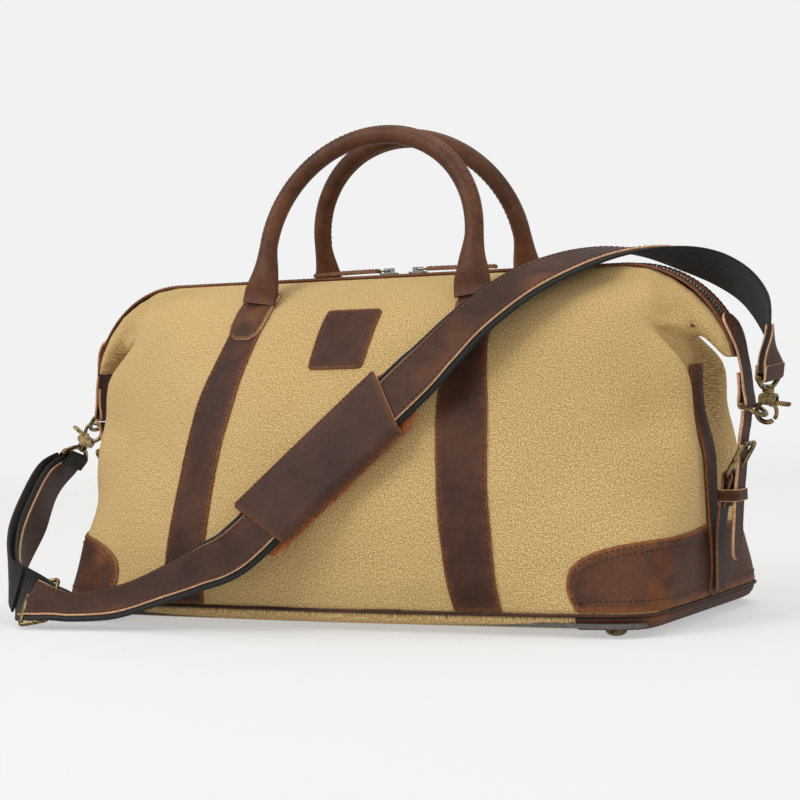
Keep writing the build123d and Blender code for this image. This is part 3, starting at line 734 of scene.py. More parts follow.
def thicken(made, amount):
    """Give a sheet its thickness, inwards."""
    thick = made.modifiers.new("thickness", "SOLIDIFY")
    thick.thickness, thick.offset = amount * MM, -1
    applied(made)


def coordinates(mesh, kind="co"):
    out = np.zeros(len(mesh.vertices) * 3)
    mesh.vertices.foreach_get(kind, out)
    return out.reshape(-1, 3)


def nose_low_line(x):
    low = np.array([n[1] for n in NOSE])
    return np.interp(np.abs(x), low[:, 0], low[:, 1])


def crease(p, a, b, width):
    """How near each point is to a line from a to b, from 0 to 1."""
    a, b = np.array(a, float), np.array(b, float)
    run = b - a
    t = np.clip(((p - a) @ run) / (run @ run), 0, 1)
    d = np.linalg.norm(p - (a + t[:, None] * run), axis=1)
    fade = np.sin(pi * np.clip(t * 0.8 + 0.1, 0, 1))
    return np.exp(-(d / width) ** 2) * fade


STRAP_AT, STRAP_LEAN = 118, 0.13


def strap_middle(z):
    return STRAP_AT - STRAP_LEAN * (z - 15)


def dent(p, n):
    """Push the skin in and out where the filled canvas folds, sags and puckers."""
    x, y, z = p.T
    ax = np.abs(x)
    moved = p.copy()
    # hollow in each end, under the mouth's overhang, narrowing to nothing half way down
    half = 8 + 46 * np.clip((z - 108) / 105, 0, 1)
    share = np.abs(y) / half
    hollow = (0.42 + 0.58 * smooth_step(0, 0.5, share)) * (1 - smooth_step(0.55, 1.0, share))
    hollow *= smooth_step(104, 165, z) * smooth_step(205, 232, ax)
    below = z < nose_low_line(x) - 1.0
    moved[:, 0] -= np.sign(x) * 13 * hollow * below
    # the filling swells beside the centre strip
    swell = np.exp(-((np.abs(y) - 42) / 15) ** 2) * smooth_step(212, 234, ax)
    moved[:, 0] += np.sign(x) * 9 * swell * smooth_step(50, 105, z) * (1 - smooth_step(180, 214, z))
    # soft unevenness of a stuffed bag
    field = np.array([noise.noise(Vector((a * 0.011, b * 0.013, c * 0.015))) for a, b, c in p])
    ripple = np.array([noise.noise(Vector((a * 0.031 + 7, b * 0.03, c * 0.026 + 3))) for a, b, c in p])
    calm = smooth_step(17, 45, z) * (1 - smooth_step(236, 245, z))
    moved += n * ((field * 3.0 + ripple * 1.3) * calm)[:, None]
    # the sewn straps hold the canvas in a little
    for face in (-1, 1):
        for way in (-1, 1):
            held = np.exp(-((x - way * strap_middle(z)) / 26) ** 2)
            held = held * (np.sign(y) == face) * smooth_step(20, 60, z)
            moved -= n * (held * 1.6 * (1 - smooth_step(205, 240, z)))[:, None]
    for a, b, width, depth in CREASES:
        moved -= n * (depth * crease(p, a, b, width))[:, None]
    return moved


CREASES = []
for way in (-1, 1):
    for face in (-1, 1):
        CREASES += [
            ((way * 199, face * 20, 243), (way * 203, face * 46, 222), 6, 3.2),
            ((way * 216, face * 18, 238), (way * 222, face * 38, 219), 6, 4.0),
            ((way * 232, face * 20, 214), (way * 206, face * 52, 213), 7, 3.0),
            ((way * 203, face * 26, 242), (way * 226, face * 44, 208), 7, -4.5),
            ((way * 222, face * 24, 232), (way * 238, face * 30, 196), 8, 4.5),
            ((way * 236, face * 46, 205), (way * 224, face * 62, 172), 12, -3.0),
            ((way * 238, face * 30, 150), (way * 205, face * 86, 142), 13, 3.0),
            ((way * 236, face * 52, 118), (way * 190, face * 104, 122), 14, -2.0),
            ((way * 239, face * 40, 96), (way * 214, face * 98, 82), 14, 2.0),
            ((way * 80, face * 128, 92), (way * 20, face * 132, 70), 26, -1.6),
            ((way * 60, face * 92, 190), (way * 10, face * 100, 172), 24, 1.2),
        ]

form = filled_form()
skin = dent(coordinates(form.data), coordinates(form.data, "normal"))
form.data.vertices.foreach_set("co", skin.ravel())
relaxed(form, 4)
tree_of_skin = BVHTree.FromPolygons([Vector(v) for v in coordinates(form.data)],
                                    [tuple(p.vertices) for p in form.data.polygons])


def touched(start, way, near):
    """Where a ray meets the skin, or the skin's nearest place if it misses."""
    hit = tree_of_skin.ray_cast(Vector(start), Vector(way))
    if hit[0] is None:
        hit = tree_of_skin.find_nearest(Vector(near))
    return tuple(hit[0])


def lay_on_face(side):
    """Places flat (x, z) points on the front (-1) or back (1) of the bag."""
    def place(points):
        return np.array([touched((x, side * 260, z), (0, -side, 0), (x, side * 60, z)) for x, z in points])
    return place


OUTLINES = {}


def lay_on_end(way):
    """Places flat (distance round from the middle of the end, z) points on an end of the bag."""
    def place(points):
        out = []
        for s, z in points:
            key = round(float(z) * 2) / 2
            if key not in OUTLINES:
                ring = section_outline(np.clip(key, SEAM_HIGH, 246))
                ring = resample(ring, 1, closed=True)
                line = np.vstack([ring, ring[:1]])
                run = run_along(line)
                OUTLINES[key] = line, run
            line, run = OUTLINES[key]
            at = -s % run[-1]
            ahead, behind = (at + 2) % run[-1], (at - 2) % run[-1]
            spot, a, b = [np.array([np.interp(t, run, line[:, k]) for k in (0, 1)])
                          for t in (at, ahead, behind)]
            tangent = unit(a - b)
            normal = np.array([-tangent[1], tangent[0]])
            if normal @ spot < 0:
                normal = -normal
            if way < 0:
                spot, normal = spot * (-1, 1), normal * (-1, 1)
            out.append(touched((*(spot + normal * 22), z), (*(-normal), 0), (*spot, z)))
        return np.array(out)
    return place


def zip_distance(p):
    """Distance of each point from the zip's line, seen from the front."""
    ax, z = np.abs(p[:, 0]), p[:, 2]
    centre = RIDGE_Z - RIDGE_RADIUS
    round_part = np.abs(np.hypot(ax - RIDGE_STRAIGHT, z - centre) - RIDGE_RADIUS)
    round_part = np.where(z > centre + ZIP_REACH, round_part, 99)
    return np.where(ax > RIDGE_STRAIGHT, round_part, np.abs(z - RIDGE_Z))


def panel(name, side, node_name):
    """One side's canvas: half of the skin with the zip's slot and the base left open.
    Returns the mesh of its lining, which lies inside it."""
    half = bmesh.new()
    half.from_mesh(form.data)
    upright, level_plane = (0, 1, 0), (0, 0, 1)
    for at, normal in (((0, 0, 0), upright), ((0, ZIP_SLOT, 0), upright), ((0, -ZIP_SLOT, 0), upright),
                       ((0, 0, SEAM_HIGH - 1), level_plane)):
        bmesh.ops.bisect_plane(half, geom=half.verts[:] + half.edges[:] + half.faces[:], dist=1e-4,
                               plane_co=at, plane_no=normal, clear_inner=normal == level_plane)
    centres = np.array([f.calc_center_median() for f in half.faces])
    slot = (np.abs(centres[:, 1]) < ZIP_SLOT) & (zip_distance(centres) < ZIP_REACH)
    doomed = [f for f, c, s in zip(half.faces, centres, slot) if s or c[1] * side < 0]
    bmesh.ops.delete(half, geom=doomed, context="FACES")
    bmesh.ops.triangulate(half, faces=[f for f in half.faces if len(f.verts) > 4])
    mesh = bpy.data.meshes.new(name)
    half.to_mesh(mesh)
    half.free()
    p = coordinates(mesh)
    n = coordinates(mesh, "normal")
    x, y, z = p.T
    length, middle, end = level(z)[:3]
    wide = end + (middle - end) * (1 - np.clip(x / length, -1, 1) ** 2)
    heights = np.linspace(10, 250, 241)
    slope = np.gradient(level(heights)[1], heights)
    climb = np.concatenate([[0], np.cumsum(np.sqrt(1 + slope[1:] ** 2))])
    flat = np.column_stack([np.sign(x) * (np.abs(x) + np.maximum(0, wide - np.abs(y))),
                            np.interp(z, heights, climb)])
    mesh.vertices.foreach_set("co", (p * MM).ravel())
    mesh.materials.append(canvas)
    finish_mesh(mesh, flat, None, 0)
    made = linked(name, mesh)
    inner = bpy.data.meshes.new(name + "_lining")
    inner.from_pydata(((p - n * LINING_IN) * MM).tolist(), [], [tuple(f.vertices) for f in mesh.polygons])
    thicken(made, CANVAS_THICK)
    finish_mesh(made.data, sharp=0)
    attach(made, "bag")
    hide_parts(node_name)
    return inner


front_lining = panel("front_canvas", -1, "front_panel")
back_lining = panel("back_canvas", 1, "back_panel")
for mesh, name in ((front_lining, "front_lining"), (back_lining, "back_lining")):
    mesh.materials.append(lining_cloth)
    finish_mesh(mesh, sharp=0)
    made = linked(name, mesh)
    thicken(made, 0.6)
    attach(made, "bag")
    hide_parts("lining")
bpy.data.objects.remove(form)

# ---- base -----------------------------------------------------------------------------------------
BASE_RING = resample(section_outline(16.6), 4, closed=True)[:, :2]
BASE_STEPS = [(13.6, 0.6), (11.5, 0.9), (9.2, 1.9), (7.2, 4.0), (5.8, 7.0), (5.1, 11.0), (5.0, 22.0),
              (5.0, 60.0)]


def base_shape(name, keep, grow, materials, replaces=()):
    """Shallow tray under the seam, or the part of it that keep(x, y) chooses."""
    m = len(BASE_RING)
    rings = []
    for z, back in BASE_STEPS:
        rings.append(np.column_stack([inset(BASE_RING, back - grow), np.full(m, z - grow * (back > 3))]))
    points = np.vstack(rings)
    faces = []
    for i in range(len(rings) - 1):
        for k in range(m):
            l = (k + 1) % m
            middle = (points[i * m + k] + points[i * m + l]) / 2
            if keep(middle):
                faces.append((i * m + k, i * m + l, i * m + m + l, i * m + m + k))
    if not grow:
        faces.append(tuple((len(rings) - 1) * m + k for k in range(m)))
    used = sorted({i for f in faces for i in f})
    index = {old: new for new, old in enumerate(used)}
    faces = [tuple(index[i] for i in f) for f in faces]
    points = points[used]
    a, b, c = [points[i] for i in faces[0][:3]]
    if np.cross(b - a, c - a)[:2] @ a[:2] < 0:
        faces = [tuple(reversed(f)) for f in faces]
    made = object_from(name, points, faces, materials, "bag", None, points[:, :2], None, 0, replaces)
    thicken(made, 0.8 if grow else CANVAS_THICK)


base_shape("base_canvas", lambda p: True, 0.0, [canvas], ["base_panel"])
for way, end in ((-1, "left"), (1, "right")):
    base_shape(f"{end}_base_leather", lambda p: way * p[0] > 187,
               0.8, [patch_leather])


def closed_cord(name, line, radius, materials, body, replaces):
    """Round cord along a closed line."""
    along = unit(np.roll(line, -1, 0) - np.roll(line, 1, 0))
    across = [unit(np.cross(along[0], (0, 0, 1.0)))]
    for t in along[1:]:
        last = across[-1]
        across.append(unit(last - t * (last @ t)))
    across = np.array(across)
    up = np.cross(across, along)
    turn = np.linspace(0, 2 * pi, 10, endpoint=False)
    section = np.column_stack([np.cos(turn), np.sin(turn)]) * radius
    points, faces = sweep(line, across, up, section, True)[:2]
    return object_from(name, points, outward(points, faces), materials, body, replaces=replaces,
                       sharp=0)


piping_line = np.column_stack([inset(BASE_RING, -0.9), np.full(len(BASE_RING), 15.0)])
closed_cord("base_piping_cord", piping_line, 1.2, [strap_leather], "bag", ["base_piping"])

FOOT_X, FOOT_Y, FOOT_SIDES = 208, 98, 24
spots = [(x, y) for x in (-FOOT_X, FOOT_X) for y in (-FOOT_Y, FOOT_Y)] + [(0, 0)]
dome = [(0.0, 0.0), (2.6, 0.15), (4.8, 0.8), (6.5, 2.0), (7.4, 3.4), (7.6, 4.4), (8.0, 4.9), (8.0, 5.6),
        (0.0, 5.6)]         # radius and height of a foot's rings
points, faces = [], []
for x, y in spots:
    base = len(points)
    for r, z in dome:
        for k in range(FOOT_SIDES):
            a = 2 * pi * k / FOOT_SIDES
            points.append((x + max(r, 0.05) * cos(a), y + max(r, 0.05) * sin(a), z))
    faces += stack_faces(len(dome), FOOT_SIDES, base)
object_from("foot_studs", points, outward(points, faces), [brass], "bag", sharp=35,
            replaces=["feet"])

# ---- leather sewn on the canvas -------------------------------------------------------------------
STRAP_LOW, STRAP_TOP = 16.8, 237
EDGE_STITCH = 2.6           # from a piece's edge to its stitches


def strap_half(z):
    return 17.6 - 3.2 * smooth_step(150, 206, z)


for side, face in ((-1, "front"), (1, "back")):
    place = lay_on_face(side)
    for way, end in ((-1, "left"), (1, "right")):
        rows = np.linspace(STRAP_LOW, STRAP_TOP, 60)
        left = np.column_stack([way * strap_middle(rows) - strap_half(rows), rows])
        right = np.column_stack([way * strap_middle(rows) + strap_half(rows), rows])
        cut_piece(f"{face}_{end}_strap_leather", np.vstack([left, right[::-1]]), place, 1.8,
                  [strap_leather, cut_edge], "bag", cell=5,
                  replaces=[f"{face}_{end}_strap"])
        for line, name in ((left + (EDGE_STITCH, 0), "a"), (right - (EDGE_STITCH, 0), "b")):
            sewn(f"{face}_{end}_strap_stitch_{name}", line[1:-1], place, 1.75, 4.2, stitch_dark, "bag")
        x = way * strap_middle(216)
        lean = -way * STRAP_LEAN
        tab = [(x - 15, 236), (x - 15, 203), (x + 15, 203), (x + 15, 236)]
        tab = rounded([(px + lean * (pz - 216), pz) for px, pz in tab], [0.5, 14, 14, 0.5], 10)
        cut_piece(f"{face}_{end}_tab_leather", tab, place, 2.0, [handle_leather, tan_edge], "bag",
                  lift=1.7, cell=3.5, replaces=[f"{face}_{end}_handle_tab"])
        line = inset(resample(tab, 1.5, closed=True), EDGE_STITCH)
        line = line[line[:, 1] < 229]
        sewn(f"{face}_{end}_tab_stitch", from_gap(line), place, 3.7, 3.4, stitch_dark, "bag")
        across = np.array([(x - 12.2 + lean * 12, 228.5), (x + 12.2 + lean * 12, 228.5)])
        sewn(f"{face}_{end}_tab_stitch_across", across, place, 3.7, 3.4, stitch_dark, "bag")

place = lay_on_face(-1)
label = rounded([(-26, 223), (-26, 181), (20, 181), (20, 223)], 3.5)
cut_piece("blank_patch_leather", label, place, 1.8, [strap_leather, cut_edge], "bag", cell=4,
          replaces=["blank_patch"])
line = inset(resample(label, 1.5, closed=True), EDGE_STITCH)
sewn("blank_patch_stitch", np.vstack([line, line[:1]]), place, 1.75, 3.4, stitch_dark, "bag")

for way, end in ((-1, "left"), (1, "right")):
    place = lay_on_end(way)
    edge = spline([(-151, STRAP_LOW), (-153, 25), (-152, 35), (-144, 47), (-126, 56), (-100, 61), (-60, 64),
                   (0, 67)], 8)
    outline = np.vstack([edge, (edge * (-1, 1))[::-1][1:]])
    cut_piece(f"{end}_patch_leather", outline, place, 1.8, [patch_leather, cut_edge], "bag",
              cell=5, replaces=[f"{end}_end_patch"], step=3)
    for shift, name in ((3.0, "a"), (7.0, "b")):
        line = inset(resample(outline, 2, closed=True), shift)
        line = line[line[:, 1] > 20]
        sewn(f"{end}_patch_stitch_{name}", from_gap(line), place, 1.75, 4.0, stitch_dark, "bag")
    strip = rounded([(-9, STRAP_LOW), (-9, 177), (9, 177), (9, STRAP_LOW)], 1)
    cut_piece(f"{end}_strip_leather", strip, place, 1.8, [strap_leather, cut_edge], "bag",
              lift=1.7, cell=4, replaces=[f"{end}_end_strip"])
    for s, name in ((-6.6, "a"), (6.6, "b")):
        sewn(f"{end}_strip_stitch_{name}", [(s, 20), (s, 174)], place, 3.45, 4.2, stitch_brown, "bag")


# ---- zip ------------------------------------------------------------------------------------------
def zip_line(step, turn=RIDGE_TURN):
    """Points along the zip and the way out from it, from the left end to the right."""
    steps = int(radians(turn) * RIDGE_RADIUS / step) + 1
    arc = [(ridge_point(a), (sin(a), cos(a))) for a in np.linspace(0, radians(turn), steps)]
    straight = np.linspace(-RIDGE_STRAIGHT, RIDGE_STRAIGHT, int(2 * RIDGE_STRAIGHT / step) + 1)[1:-1]
    spots = [((-p[0], p[1]), (-n[0], n[1])) for p, n in reversed(arc)]
    spots += [((x, RIDGE_Z), (0, 1)) for x in straight]
    spots += arc
    middle = np.array([(p[0], 0, p[1]) for p, n in spots])
    up = np.array([(n[0], 0, n[1]) for p, n in spots])
    return middle, up


def zip_strip(name, y_from, y_to, low, high, materials, replaces=(), crown=0.0):
    """Strips on both sides of the zip, from y_from to y_to and from low to high above its line."""
    middle, up = zip_line(4.0)
    width = y_to - y_from
    across = np.tile((0.0, 1.0, 0.0), (len(middle), 1))
    for side, face in ((-1, "front"), (1, "back")):
        section, edge = strap_profile(width, high - low, 2.0)
        section[:, 1] += crown * (1 - (section[:, 0] / width * 2) ** 2) * (section[:, 1] > 0)
        centre = middle + across * side * (y_from + y_to) / 2 + up * (low + high) / 2
        points, faces, kinds = sweep(centre, across, up, section)
        flat, wear = unrolled(section, middle, width, 0.9)
        groups = [1 if (k < 0 or edge[k]) and len(materials) > 1 else 0 for k in kinds]
        object_from(f"{name}_{face}", points, outward(points, faces), materials, "bag", groups, flat,
                    wear, replaces=replaces)


zip_strip("zip_tape", 2.6, 9.0, -1.2, 0.0, [zip_cloth], ["zip_tapes"])
zip_strip("zip_facing", 6.6, 13.4, -0.4, 1.3, [handle_leather], ["zip_facings"], crown=0.3)
for side, face in ((-1, "front"), (1, "back")):
    middle, up = zip_line(2.0)
    for y, name in ((8.2, "inner"), (11.8, "outer")):
        stitch_line(f"zip_stitch_{face}_{name}", middle + np.array([0, side * y, 0]) + up * 1.5, up, 3.8,
                    stitch_dark, "bag", radius=0.3)

TOOTH = [(-0.62, -0.8), (0.62, -0.8), (0.62, 1.5), (0.34, 2.2), (-0.34, 2.2), (-0.62, 1.5)]
TOOTH_RINGS = ((-1.3, 1.0), (1.15, 1.0), (1.5, 0.86))       # height and size of each ring
TOOTH_PITCH, LAST_TOOTH = 1.35, 78          # millimetres, and degrees round the zip's turn
points, faces = [], []
middle, up = zip_line(TOOTH_PITCH, LAST_TOOTH)
along = unit(np.gradient(middle, axis=0))
for i in range(len(middle)):
    side = 1 if i % 2 else -1
    base = len(points)
    for height, shrink in TOOTH_RINGS:
        for a, b in TOOTH:
            inward = np.array([0, side * (2.35 - (b * shrink + 0.4)), 0])
            points.append(middle[i] + along[i] * a * shrink + inward + up[i] * height)
    faces += [f[::side] for f in stack_faces(len(TOOTH_RINGS), len(TOOTH), base)]
object_from("zip_tooth_rows", points, faces, [zip_metal], "bag", sharp=30,
            replaces=["zip_teeth"])


# ---- zip pulls ------------------------------------------------------------------------------------
def cad_box_mm(name):
    low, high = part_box(name)
    return np.array(low) / MM, np.array(high) / MM


for way, end in ((-1, "left"), (1, "right")):
    low, high = cad_box_mm(f"{end}_zip_pull")
    middle_z = (low[2] + high[2]) / 2
    a, b = (high[0], low[0]) if way < 0 else (low[0], high[0])
    outline = rounded([(a, -4.5), (a, 4.5), (b, 4.2), (b, -4.2)], [2, 2, 3.8, 3.8], 8)

    def droop(x):
        return np.minimum(0.000315 * (x - a) ** 2, 1.0)

    def flat_place(p):
        return np.column_stack([p[:, 0], p[:, 1], middle_z - 1.4 - droop(p[:, 0])])

    cut_piece(f"{end}_pull_leather", outline, flat_place, 2.8, [handle_leather, cut_edge], f"{end}_pull",
              cell=3, soften=0, sink=0.0, bevel=0.7, replaces=[f"{end}_zip_pull"])
    line = inset(resample(outline, 1.0, closed=True), 1.6)
    spots = np.column_stack([line, np.full(len(line), middle_z + 1.45)])
    spots[:, 2] -= droop(spots[:, 0])
    stitch_line(f"{end}_pull_stitch", spots, np.tile((0, 0, 1.0), (len(spots), 1)), 2.8, stitch_dark,
                f"{end}_pull", radius=0.3)

# ---- handles --------------------------------------------------------------------------------------
HALF_SPAN, TUBE, PIVOT_Y, PIVOT_Z, ARCH_Z = 85, 6.6, 52, 233, 269
NECK_WIDE, NECK_THICK = 14.2, 1.6       # half sizes of the handle's flat neck under its tab
for side, face in ((-1, "front"), (1, "back")):
    lean = radians(16)
    stand = np.array([0, -side * sin(lean), cos(lean)])
    outside = np.array([0, side * cos(lean), sin(lean)])
    origin = np.array([0, side * PIVOT_Y, PIVOT_Z])
    start = (ARCH_Z - PIVOT_Z) / cos(lean)
    line = [(-HALF_SPAN - out, h) for out, h in ((3, -2.5), (2, 5), (1, 13), (0, 24), (0, start - 1))]
    line += [(-HALF_SPAN * cos(a), start + HALF_SPAN * sin(a)) for a in np.linspace(0.06, pi - 0.06, 24)]
    line += [(-x, h) for x, h in line[4::-1]]
    line = resample(spline([(x, h, 0) for x, h in line], 6), 3.0)
    middle = origin + line[:, :1] * np.array([1, 0, 0]) + line[:, 1:2] * stand
    along = unit(np.gradient(middle, axis=0))
    up = np.tile(outside, (len(middle), 1))
    across = unit(np.cross(along, up))
    turn = np.linspace(0, 2 * pi, 28, endpoint=False)
    run = run_along(middle)
    from_end = np.minimum(run, run[-1] - run)
    round_share = smooth_step(3, 21, from_end)
    half_wide = NECK_WIDE + (TUBE - NECK_WIDE) * smooth_step(6, 48, from_end) ** 0.8
    half_thick = NECK_THICK + (TUBE - NECK_THICK) * round_share
    points = []
    for i in range(len(middle)):
        square = 2.0 + 2.5 * (1 - round_share[i])
        c, s = np.cos(turn), np.sin(turn)
        u = np.sign(c) * np.abs(c) ** (2 / square) * half_wide[i]
        v = np.sign(s) * np.abs(s) ** (2 / square) * half_thick[i]
        seam = 1.0 * np.exp(-((turn - pi) / 0.16) ** 2) * round_share[i]
        u = u + np.where(np.cos(turn) < 0, -seam, 0)
        points.append(middle[i] + across[i] * u[:, None] + up[i] * v[:, None])
    m = len(turn)
    faces = [tuple(range(m)), tuple((len(middle) - 1) * m + k for k in range(m))[::-1]]
    for i in range(len(middle) - 1):
        for k in range(m):
            l = (k + 1) % m
            faces.append((i * m + k, i * m + m + k, i * m + m + l, i * m + l))
    points = np.vstack(points)
    flat = np.column_stack([np.tile(turn * 6, len(middle)), np.repeat(run, m)])
    rub = np.tile(0.32 * np.exp(-((turn - pi) / 0.5) ** 2) + 0.10, len(middle))
    object_from(f"{face}_handle_leather", points, outward(points, faces), [handle_leather], f"{face}_handle",
                None, flat, rub, 60, [f"{face}_handle"])
    keep = from_end > 46
    for offset, name in ((2.3, "a"), (-2.3, "b")):
        rim = middle - across * (TUBE * cos(offset / TUBE)) + up * (TUBE * sin(offset / TUBE))
        direction = unit(-across * cos(offset / TUBE) + up * sin(offset / TUBE))
        stitch_line(f"{face}_handle_stitch_{name}", (rim + direction * 0.1)[keep], direction[keep], 4.2,
                    stitch_dark, f"{face}_handle", radius=0.26)

# ---- rings, belts and buckles ---------------------------------------------------------------------
BELT_WIDTH = 18


def stations_xz(points, way):
    """Ribbon stations from (x, z, outside x, outside z) in the plane of the bag's length."""
    return [((way * x, 0.0, z), (way * a, 0, b)) for x, z, a, b in points]


def tip(length_share):
    """Width along a strap that ends in a point over its last share."""
    def taper(t):
        far = np.clip((t - (1 - length_share)) / length_share, 0, 1)
        return np.sqrt(np.clip(1 - far ** 2.2, 0.02, 1))
    return taper


for way, end in ((-1, "left"), (1, "right")):
    arc = [(radians(a), ridge_point(radians(a), 3.0)) for a in (58, 66, 74, 82)]
    tab = [(p[0], p[1], sin(a), cos(a)) for a, p in arc]
    tab += [(268.6, 170, 1, 0), (269.6, 158, 1, 0), (270.7, 151, 1, 0), (270.5, 146.4, 0.85, -0.5),
            (268.2, 145.2, 0, -1), (265.9, 146.4, -0.85, -0.5), (265.6, 151, -1, 0), (266.4, 158, -1, 0),
            (265.9, 170, -1, 0)]
    frames = ribbon(stations_xz(tab, way), 1.6)
    strap(f"{end}_end_tab_leather", frames, 20, 1.9, 0, [handle_leather, tan_edge], "bag",
          [f"{end}_zip_end_tab"],
          taper=lambda t: ((1 + 0.45 * (1 - smooth_step(0.12, 0.34, t)))
                           * np.sqrt(np.clip(1 - np.clip(1 - t / 0.1, 0, 1) ** 2, 0.05, 1))))
    for offset in (-7.6, 7.6):
        ribbon_stitches(f"{end}_end_tab_stitch_{'a' if offset < 0 else 'b'}", frames, offset, 0.95, 3.4,
                        stitch_brown, "bag", 0.03, 0.42)
    belt = [(268.2, 143.6, 1, 0.1), (267.2, 135, 1, 0.1), (265.4, 126, 1, 0.1), (263.8, 112, 1, 0.1),
            (262.4, 99, 1, 0.1), (260.6, 85, 1, 0.1), (259, 66, 1, 0.05), (257, 41, 1, 0.1)]
    frames = ribbon(stations_xz(belt, way), 2.0)
    strap(f"{end}_belt_leather", frames, BELT_WIDTH, 2.4, 0, [strap_leather, tan_edge], "bag",
          [f"{end}_belt"], taper=tip(0.12))
    for offset in (-6.4, 6.4):
        ribbon_stitches(f"{end}_belt_stitch_{'a' if offset < 0 else 'b'}", frames, offset, 1.2, 3.8,
                        stitch_brown, "bag", 0.02, 0.9)
    anchor = [(245.4, 20), (245.9, 40), (246.6, 58), (249.0, 76), (251.2, 88), (252.2, 96), (252.7, 100),
              (255.0, 102.6), (257.9, 101.6), (258.9, 98.5), (257.6, 95), (255.2, 88), (252.6, 78)]
    path = np.array([(way * x, 0, z) for x, z in anchor])
    middle = resample(spline(path), 1.8)
    along = unit(np.gradient(middle, axis=0))
    across = np.tile((0.0, 1.0, 0.0), (len(middle), 1))
    out = np.cross(along, across)
    strap(f"{end}_anchor_leather", (middle, across, out), BELT_WIDTH, 1.8, 0, [strap_leather, cut_edge],
          "bag", [f"{end}_anchor_strap"])
    keeper = rounded([(248.6, -10.3), (263.4, -10.3), (263.4, 10.3), (248.6, 10.3)], 3.2, 6)
    keeper = resample(keeper, 1.5, closed=True)
    line = np.column_stack([way * keeper[:, 0], keeper[:, 1], np.full(len(keeper), 86.0)])
    ahead = unit(np.roll(line, -1, 0) - np.roll(line, 1, 0))
    up = np.tile((0.0, 0.0, 1.0), (len(line), 1))
    out = np.cross(ahead, up)
    section, edge = strap_profile(8.4, 1.5)
    points, faces, kinds = sweep(line, up, out, section, True)
    groups = [1 if edge[k] else 0 for k in kinds]
    gap = 4.2 - np.abs(section[:, 0])
    object_from(f"{end}_keeper_leather", points, outward(points, faces), [strap_leather, tan_edge], "bag",
                groups, None, np.tile(np.exp(-gap), len(line)),
                replaces=[f"{end}_belt_keeper"])

# ---- shoulder strap -------------------------------------------------------------------------------
# each hook's middle, the direction from it to the strap, and the direction across it
HOOKS = {
    "left": (np.array([-279.6, -0.6, 135.6]), unit(np.array([-0.57, -0.30, -0.76])),
             np.array([-0.2, 0.95, -0.22])),
    "right": (np.array([282.4, 0, 142.6]), unit(np.array([0.13, -0.06, 0.99])),
              np.array([0.04, 0.99, 0.06])),
}
HOOK_LOOP = 25              # from a hook's middle to the bar its strap goes round
WEBBING_WIDTH, FACING_WIDTH, WEBBING, FACING = 38, 30, 2.2, 1.8
FACING_SHIFT = WEBBING / 2 + FACING / 2 + 0.1
FACING_STITCH = 12.6        # from the facing's middle to its stitches


def hook_end(end, beyond):
    middle, to_strap = HOOKS[end][:2]
    return middle + to_strap * (HOOK_LOOP + beyond)


def hook_face(end):
    to_strap, across = HOOKS[end][1:]
    away = 1 if end == "right" else -1
    face = unit(np.cross(across, to_strap))
    return face * (away if face[0] > 0 else -away)


PAD_TOP, PAD_FOOT = np.array([57, -120, 160]), np.array([-35, -150, 74])
PAD_AXIS = unit(PAD_TOP - PAD_FOOT)
PAD_FACE = np.array([0, -0.96, 0.28])
PAD_FACE = unit(PAD_FACE - PAD_AXIS * (PAD_FACE @ PAD_AXIS))
BEYOND_PAD, WITHIN_PAD = 21, 30     # stations that keep the strap straight through the pad
# (point, outside direction) from the right hook over the bag to the adjuster
strap_over = [
    (hook_end("right", 4.2), hook_face("right")), (hook_end("right", 12), hook_face("right")),
    ((286, 2, 194), (0.93, 0.33, 0.05)), ((279, 12, 211), (0.74, 0.62, 0.25)),
    ((264, 21, 228), (0.50, 0.72, 0.48)), ((243, 27, 241), (0.30, 0.68, 0.66)),
    ((219, 24, 250), (0.12, 0.50, 0.86)), ((195, 11, 256), (0.03, 0.12, 0.99)),
    ((172, -9, 256), (0, -0.25, 0.97)), ((150, -34, 249), (0, -0.55, 0.83)),
    ((127, -60, 235), (0, -0.70, 0.70)), ((103, -86, 212), (0, -0.78, 0.62)),
    ((86, -103, 191), (0, -0.88, 0.46)),
    (PAD_TOP + PAD_AXIS * BEYOND_PAD, PAD_FACE), (PAD_TOP - PAD_AXIS * WITHIN_PAD, PAD_FACE),
    (PAD_FOOT + PAD_AXIS * WITHIN_PAD, PAD_FACE), (PAD_FOOT - PAD_AXIS * BEYOND_PAD, PAD_FACE),
    ((-84, -150, 46), (0, -0.87, 0.49)), ((-116, -146, 34), (0, -0.73, 0.68)),
    ((-155, -144, 21), (0, -0.61, 0.79)), ((-190, -146, 15.5), (0.06, -0.44, 0.90)),
    ((-206, -148, 15), (0.10, -0.36, 0.93)),
]
# through the adjuster, and up to the left hook
strap_turn = [((-217, -148, 16.5), (0.06, -0.50, 0.86)), ((-228, -147, 18), (0.0, -0.63, 0.77)),
              ((-240, -143.5, 20.5), (-0.22, -0.80, 0.45))]
strap_up = [
    ((-252, -136, 25), (-0.55, -0.82, 0.15)), ((-263, -127, 33), (-0.85, -0.50, 0.10)),
    ((-280, -97, 52), (-0.95, -0.30, 0.05)), ((-291, -62, 76), (-0.97, -0.20, 0)),
    ((-302, -30, 96), (-0.95, -0.10, 0.25)), (hook_end("left", 12), hook_face("left")),
    (hook_end("left", 4.2), hook_face("left")),
]
whole = ribbon(strap_over + strap_turn + strap_up, 3.0)


def stretch(frames, a, b):
    """The part of a ribbon from the place nearest to a, to the place nearest to b."""
    first, last = [int(np.argmin(np.linalg.norm(frames[0] - np.array(p, float), axis=1))) for p in (a, b)]
    return tuple(part[first:last + 1] for part in frames)


